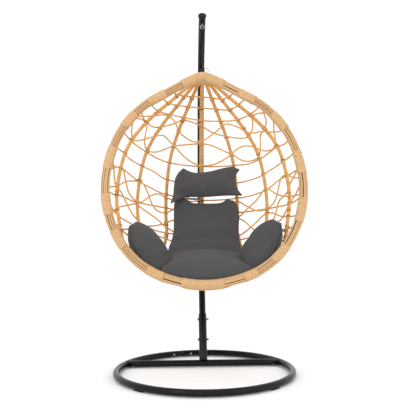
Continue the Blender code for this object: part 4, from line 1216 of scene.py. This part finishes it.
def subdivided(thing):
    """The thing's points and faces after one smooth subdivision."""
    modifier = thing.modifiers.new("Subdivision", "SUBSURF")
    modifier.levels = 1
    modifier.render_levels = 1
    made = bpy.data.meshes.new_from_object(thing.evaluated_get(bpy.context.evaluated_depsgraph_get()))
    return [v.co.copy() for v in made.vertices], [tuple(p.vertices) for p in made.polygons]


def mesh_volume(vertices, faces):
    """Six times the volume inside the faces, negative where they point inwards."""
    return sum(vertices[a].dot(vertices[b].cross(vertices[c]) + vertices[c].cross(vertices[d]))
               for a, b, c, d in faces)


def sew_pad(name, node, edges, place, half_thick, columns, rows, seed,
            slack=0.04, pressure=4.0, rounds=2):
    """Two panels cut to the edges and sewn round them, stuffed, then finished with the seam's folded edge,
    coloured darker as painted shade.

    Edges are the cut's four sides as (across, along) points in millimetres, and place gives the point in
    space for (across, along, height over the middle) in metres."""
    sides = [curve_through([(a / 1000, b / 1000, 0) for a, b in side], count + 1)
             for side, count in zip(edges, (columns, rows, columns, rows))]
    vertices = []
    index = {}
    seam = []
    for face in (1, -1):
        for j in range(rows + 1):
            for i in range(columns + 1):
                u = i / columns
                v = j / rows
                border = i in (0, columns) or j in (0, rows)
                if border and face == -1:
                    index[(face, i, j)] = index[(1, i, j)]
                    continue
                flat = coons(*sides, u, v)
                crown = (math.sin(math.pi * u) * math.sin(math.pi * v)) ** CROWN_POWER
                pucker = PUCKER * math.sin(flat.x * 230 + seed) * math.sin(flat.y * 210 + seed * 2)
                height = half_thick * CUT_SHARE * crown * face + pucker
                height += RUMPLE * crown * noise.noise(Vector((flat.x * 14, flat.y * 14, seed * 3.7 + face)))
                index[(face, i, j)] = len(vertices)
                if border:
                    seam.append(len(vertices))
                vertices.append(place(flat.x, flat.y, height))
    faces = []
    for face in (1, -1):
        for j in range(rows):
            for i in range(columns):
                corner = [index[(face, *at)] for at in ((i, j), (i + 1, j), (i + 1, j + 1), (i, j + 1))]
                faces.append(corner[::face])
    mesh = bpy.data.meshes.new(name + "_cut")
    mesh.from_pydata(vertices, [], faces)
    mesh.update()
    if mesh_volume(vertices, faces) < 0:
        mesh.flip_normals()
    shell = bpy.data.objects.new(name + "_cut", mesh)
    bpy.context.scene.collection.objects.link(shell)
    inflate(shell, seam, pressure, slack)
    calm(shell, seam, rounds)
    points, polygons = subdivided(shell)
    bpy.data.objects.remove(shell)
    final = Shape()
    for p in points:
        final.add(p)
    for polygon in polygons:
        final.face(polygon)
    border = [(i, 0) for i in range(columns)] + [(columns, j) for j in range(rows)]
    border += [(i, rows) for i in range(columns, 0, -1)] + [(0, j) for j in range(rows, 0, -1)]
    # The seam's folded edge takes the darker seam cloth: painted shade along the crease.
    final.tube([points[index[(1, *at)]] for at in border],
               lambda u, a: SEAM_RADIUS * (1 + 0.25 * noise.noise(Vector((u * 120, a, seed)))), 8,
               closed=True, slot=1)
    pad = final.replace(node, name, "basket", "cushion_cloth", cushion_cloth, seam_shade_cloth)


SEAT_LINE = curve_through([(0.010, -0.242, 0.532), (0.010, -0.230, 0.556), (0.010, -0.180, 0.572),
                           (0.010, -0.095, 0.585), (0.011, -0.006, 0.604), (0.013, 0.072, 0.638),
                           (0.016, 0.132, 0.700), (0.020, 0.176, 0.787), (0.024, 0.203, 0.878),
                           (0.026, 0.216, 0.945), (0.027, 0.220, 0.985)], 240)
SEAT_EASE = 0.960
PILLOW_ASIDE = 0.007
SEAT_EDGES = (
    [(-236, 20), (-130, 4), (0, 0), (130, 4), (236, 20)],
    [(236, 20), (234, 85), (220, 200), (212, 345), (196, 430), (186, 510), (187, 620), (178, 680),
     (150, 720)],
    [(-176, 728), (-140, 738), (-108, 724), (-80, 704), (0, 700), (72, 702), (103, 715), (118, 731),
     (134, 717), (150, 720)],
    [(-236, 20), (-234, 85), (-220, 200), (-214, 345), (-206, 420), (-192, 475), (-184, 540), (-187, 650),
     (-186, 700), (-176, 728)],
)
ARM_EDGES = (
    [(-82, -158), (-30, -152), (20, -142), (60, -132)],
    [(60, -132), (112, -92), (134, -10), (116, 80), (46, 150)],
    [(-40, 154), (-15, 151), (18, 150), (46, 150)],
    [(-82, -158), (-120, -105), (-134, -20), (-108, 80), (-40, 154)],
)
PILLOW_EDGES = (
    [(-190, 922), (-132, 950), (-85, 961), (9, 961), (120, 968), (228, 969)],
    [(228, 969), (203, 998), (188, 1040), (189, 1085), (213, 1121)],
    [(-112, 1130), (-75, 1110), (-34, 1102), (40, 1110), (110, 1127), (165, 1135), (213, 1121)],
    [(-190, 922), (-173, 970), (-168, 1020), (-161, 1065), (-140, 1104), (-112, 1130)],
)


def place_seat(a, b, height):
    """Across the seat, along it from its front lip up the back, and out of its upper face."""
    b *= SEAT_EASE
    p = at_length(SEAT_LINE, b)
    tangent = (at_length(SEAT_LINE, b + 0.01) - at_length(SEAT_LINE, b - 0.01)).normalized()
    dish = 0.018 * (a / 0.2) ** 2 * smooth(1.4 - b / 0.40)
    return p + ACROSS * a + ACROSS.cross(tangent).normalized() * (height + dish)


def place_arm(side):
    """An arm cushion's own space: leaning out on its side, its long way up, its face curled inwards."""
    centre = Vector((-0.300, -0.080, 0.688) if side < 0 else (0.312, -0.080, 0.696))
    along = Vector((0.62 * side, 0, 0.785)).normalized()
    across = Vector((-0.370 * side, 0.905, 0.205))
    across = (across - along * across.dot(along)).normalized()
    through = across.cross(along)
    if through.dot(Vector((-centre.x, 0, 0.3))) < 0:
        through = -through
    return lambda a, b, height: (centre + across * a + along * b
                                 + through * (height + 0.9 * b * b + 0.9 * 0.6 * a * a))


def place_pillow(a, b, height):
    y = 0.214 + 0.10 * (b - 1.052) - height
    y -= 0.062 * smooth((0.985 - b) / 0.05) * smooth((-0.09 - a) / 0.07)
    y += 0.25 * (a - 0.018) ** 2
    return Vector((a + PILLOW_ASIDE, y, b))


def build_cushions():
    sew_pad("seat_and_back_cushion", "seat_back_cushion", SEAT_EDGES, place_seat, 0.050, 44, 72, 1,
            slack=0.010, pressure=5.0, rounds=14)
    sew_pad("left_arm_cushion", "arm_cushion_left", ARM_EDGES, place_arm(-1), 0.060, 36, 40, 2)
    sew_pad("right_arm_cushion", "arm_cushion_right", ARM_EDGES, place_arm(1), 0.060, 36, 40, 3)
    sew_pad("neck_pillow", "head_pillow", PILLOW_EDGES, place_pillow, 0.046, 52, 26, 4)


TIE_HEIGHT = 0.952
TIE_RADIUS = 0.0026
TIE_STEPS = 11


def build_pillow_tie():
    """The pillow's tie: a soft cord sewn to its lower edge that loops round the centre rib."""
    t = min((0.3 + k / 5000 for k in range(2000)), key=lambda k: abs(shell_point(0, k).z - TIE_HEIGHT))
    rib = Vector((0, shell_point(0, t).y, TIE_HEIGHT + 0.003))
    reach = RIB_TUBE + TIE_RADIUS + 0.0026
    route = [(-0.096, 0.250, 0.966), (-0.070, 0.290, 0.957), (-0.038, 0.330, 0.956)]
    for k in range(TIE_STEPS + 1):
        share = k / TIE_STEPS
        route.append(rib + polar(ACROSS, BACK, reach, math.radians(195 - 285 * share)) - UP * 0.015 * share)
    route += [(-0.012, rib.y - reach - 0.0030, TIE_HEIGHT - 0.0128), (-0.042, 0.312, 0.938),
              (-0.080, 0.270, 0.941), (-0.105, 0.244, 0.955)]
    points = curve_through(route, 110)
    shape = Shape()
    shape.tube(points, TIE_RADIUS, 10)
    tie = shape.replace("pillow_tie", "pillow_tie_cord", "basket", "tie_cord", tie_cloth)
    tuple(points[0])
    [tuple(p) for p in points]


# ---------------------------------------------------------------- floor and light

FLOOR_HALF = 30.0
WORLD_STRENGTH = 1.14
# Each lamp: where it is, what it points at, its watts and its size.
LAMPS = {
    "key": ((-2.2, -3.6, 2.7), (0, 0, 1.0), 24, 0.9),
    "fill": ((2.8, -2.8, 1.9), (0, 0, 0.9), 9, 1.6),
    "top": ((0.3, 0.6, 4.2), (0, 0, 1.0), 4, 1.2),
}


def build_stage():
    g = Graph("pale_floor")
    mottle = g.noise(g.place(), 1.3, 2.0)
    g.set(Base_Color=g.grey(mottle, [(0.3, 0.95), (0.7, 0.97)]), Roughness=0.9, Specular_IOR_Level=0.1)
    mesh = bpy.data.meshes.new("floor")
    corners = [(FLOOR_HALF * x, FLOOR_HALF * y, 0) for x, y in ((-1, -1), (1, -1), (1, 1), (-1, 1))]
    mesh.from_pydata(corners, [], [(0, 1, 2, 3)])
    mesh.materials.append(g.material)
    floor = bpy.data.objects.new("floor", mesh)
    bpy.context.scene.collection.objects.link(floor)
    world = bpy.data.worlds.new("studio")
    world.use_nodes = True
    world.node_tree.nodes["Background"].inputs["Color"].default_value = (1, 1, 1, 1)
    world.node_tree.nodes["Background"].inputs["Strength"].default_value = WORLD_STRENGTH
    bpy.context.scene.world = world
    for name, (place, aim, energy, size) in LAMPS.items():
        data = bpy.data.lights.new(name, "AREA")
        data.energy = energy
        data.size = size
        lamp = bpy.data.objects.new(name, data)
        lamp.location = place
        lamp.rotation_euler = (Vector(aim) - Vector(place)).to_track_quat("-Z", "Y").to_euler()
        bpy.context.scene.collection.objects.link(lamp)
    bpy.context.scene.view_settings.view_transform = "Standard"


build_rim()
build_ribs()
build_weave()
build_hub()
build_base()
build_socket()
build_post()
build_eye_bolt()
build_draw_bar("spring_bar_upper", "draw_bar_upper", "spring_upper", 1, BACK)
build_draw_bar("spring_bar_lower", "draw_bar_lower", "spring_lower", -1, ACROSS)
build_coil()
build_chain()
build_snap_hook()
build_basket_eye()
build_cable_tie()
build_cushions()
build_pillow_tie()
build_stage()
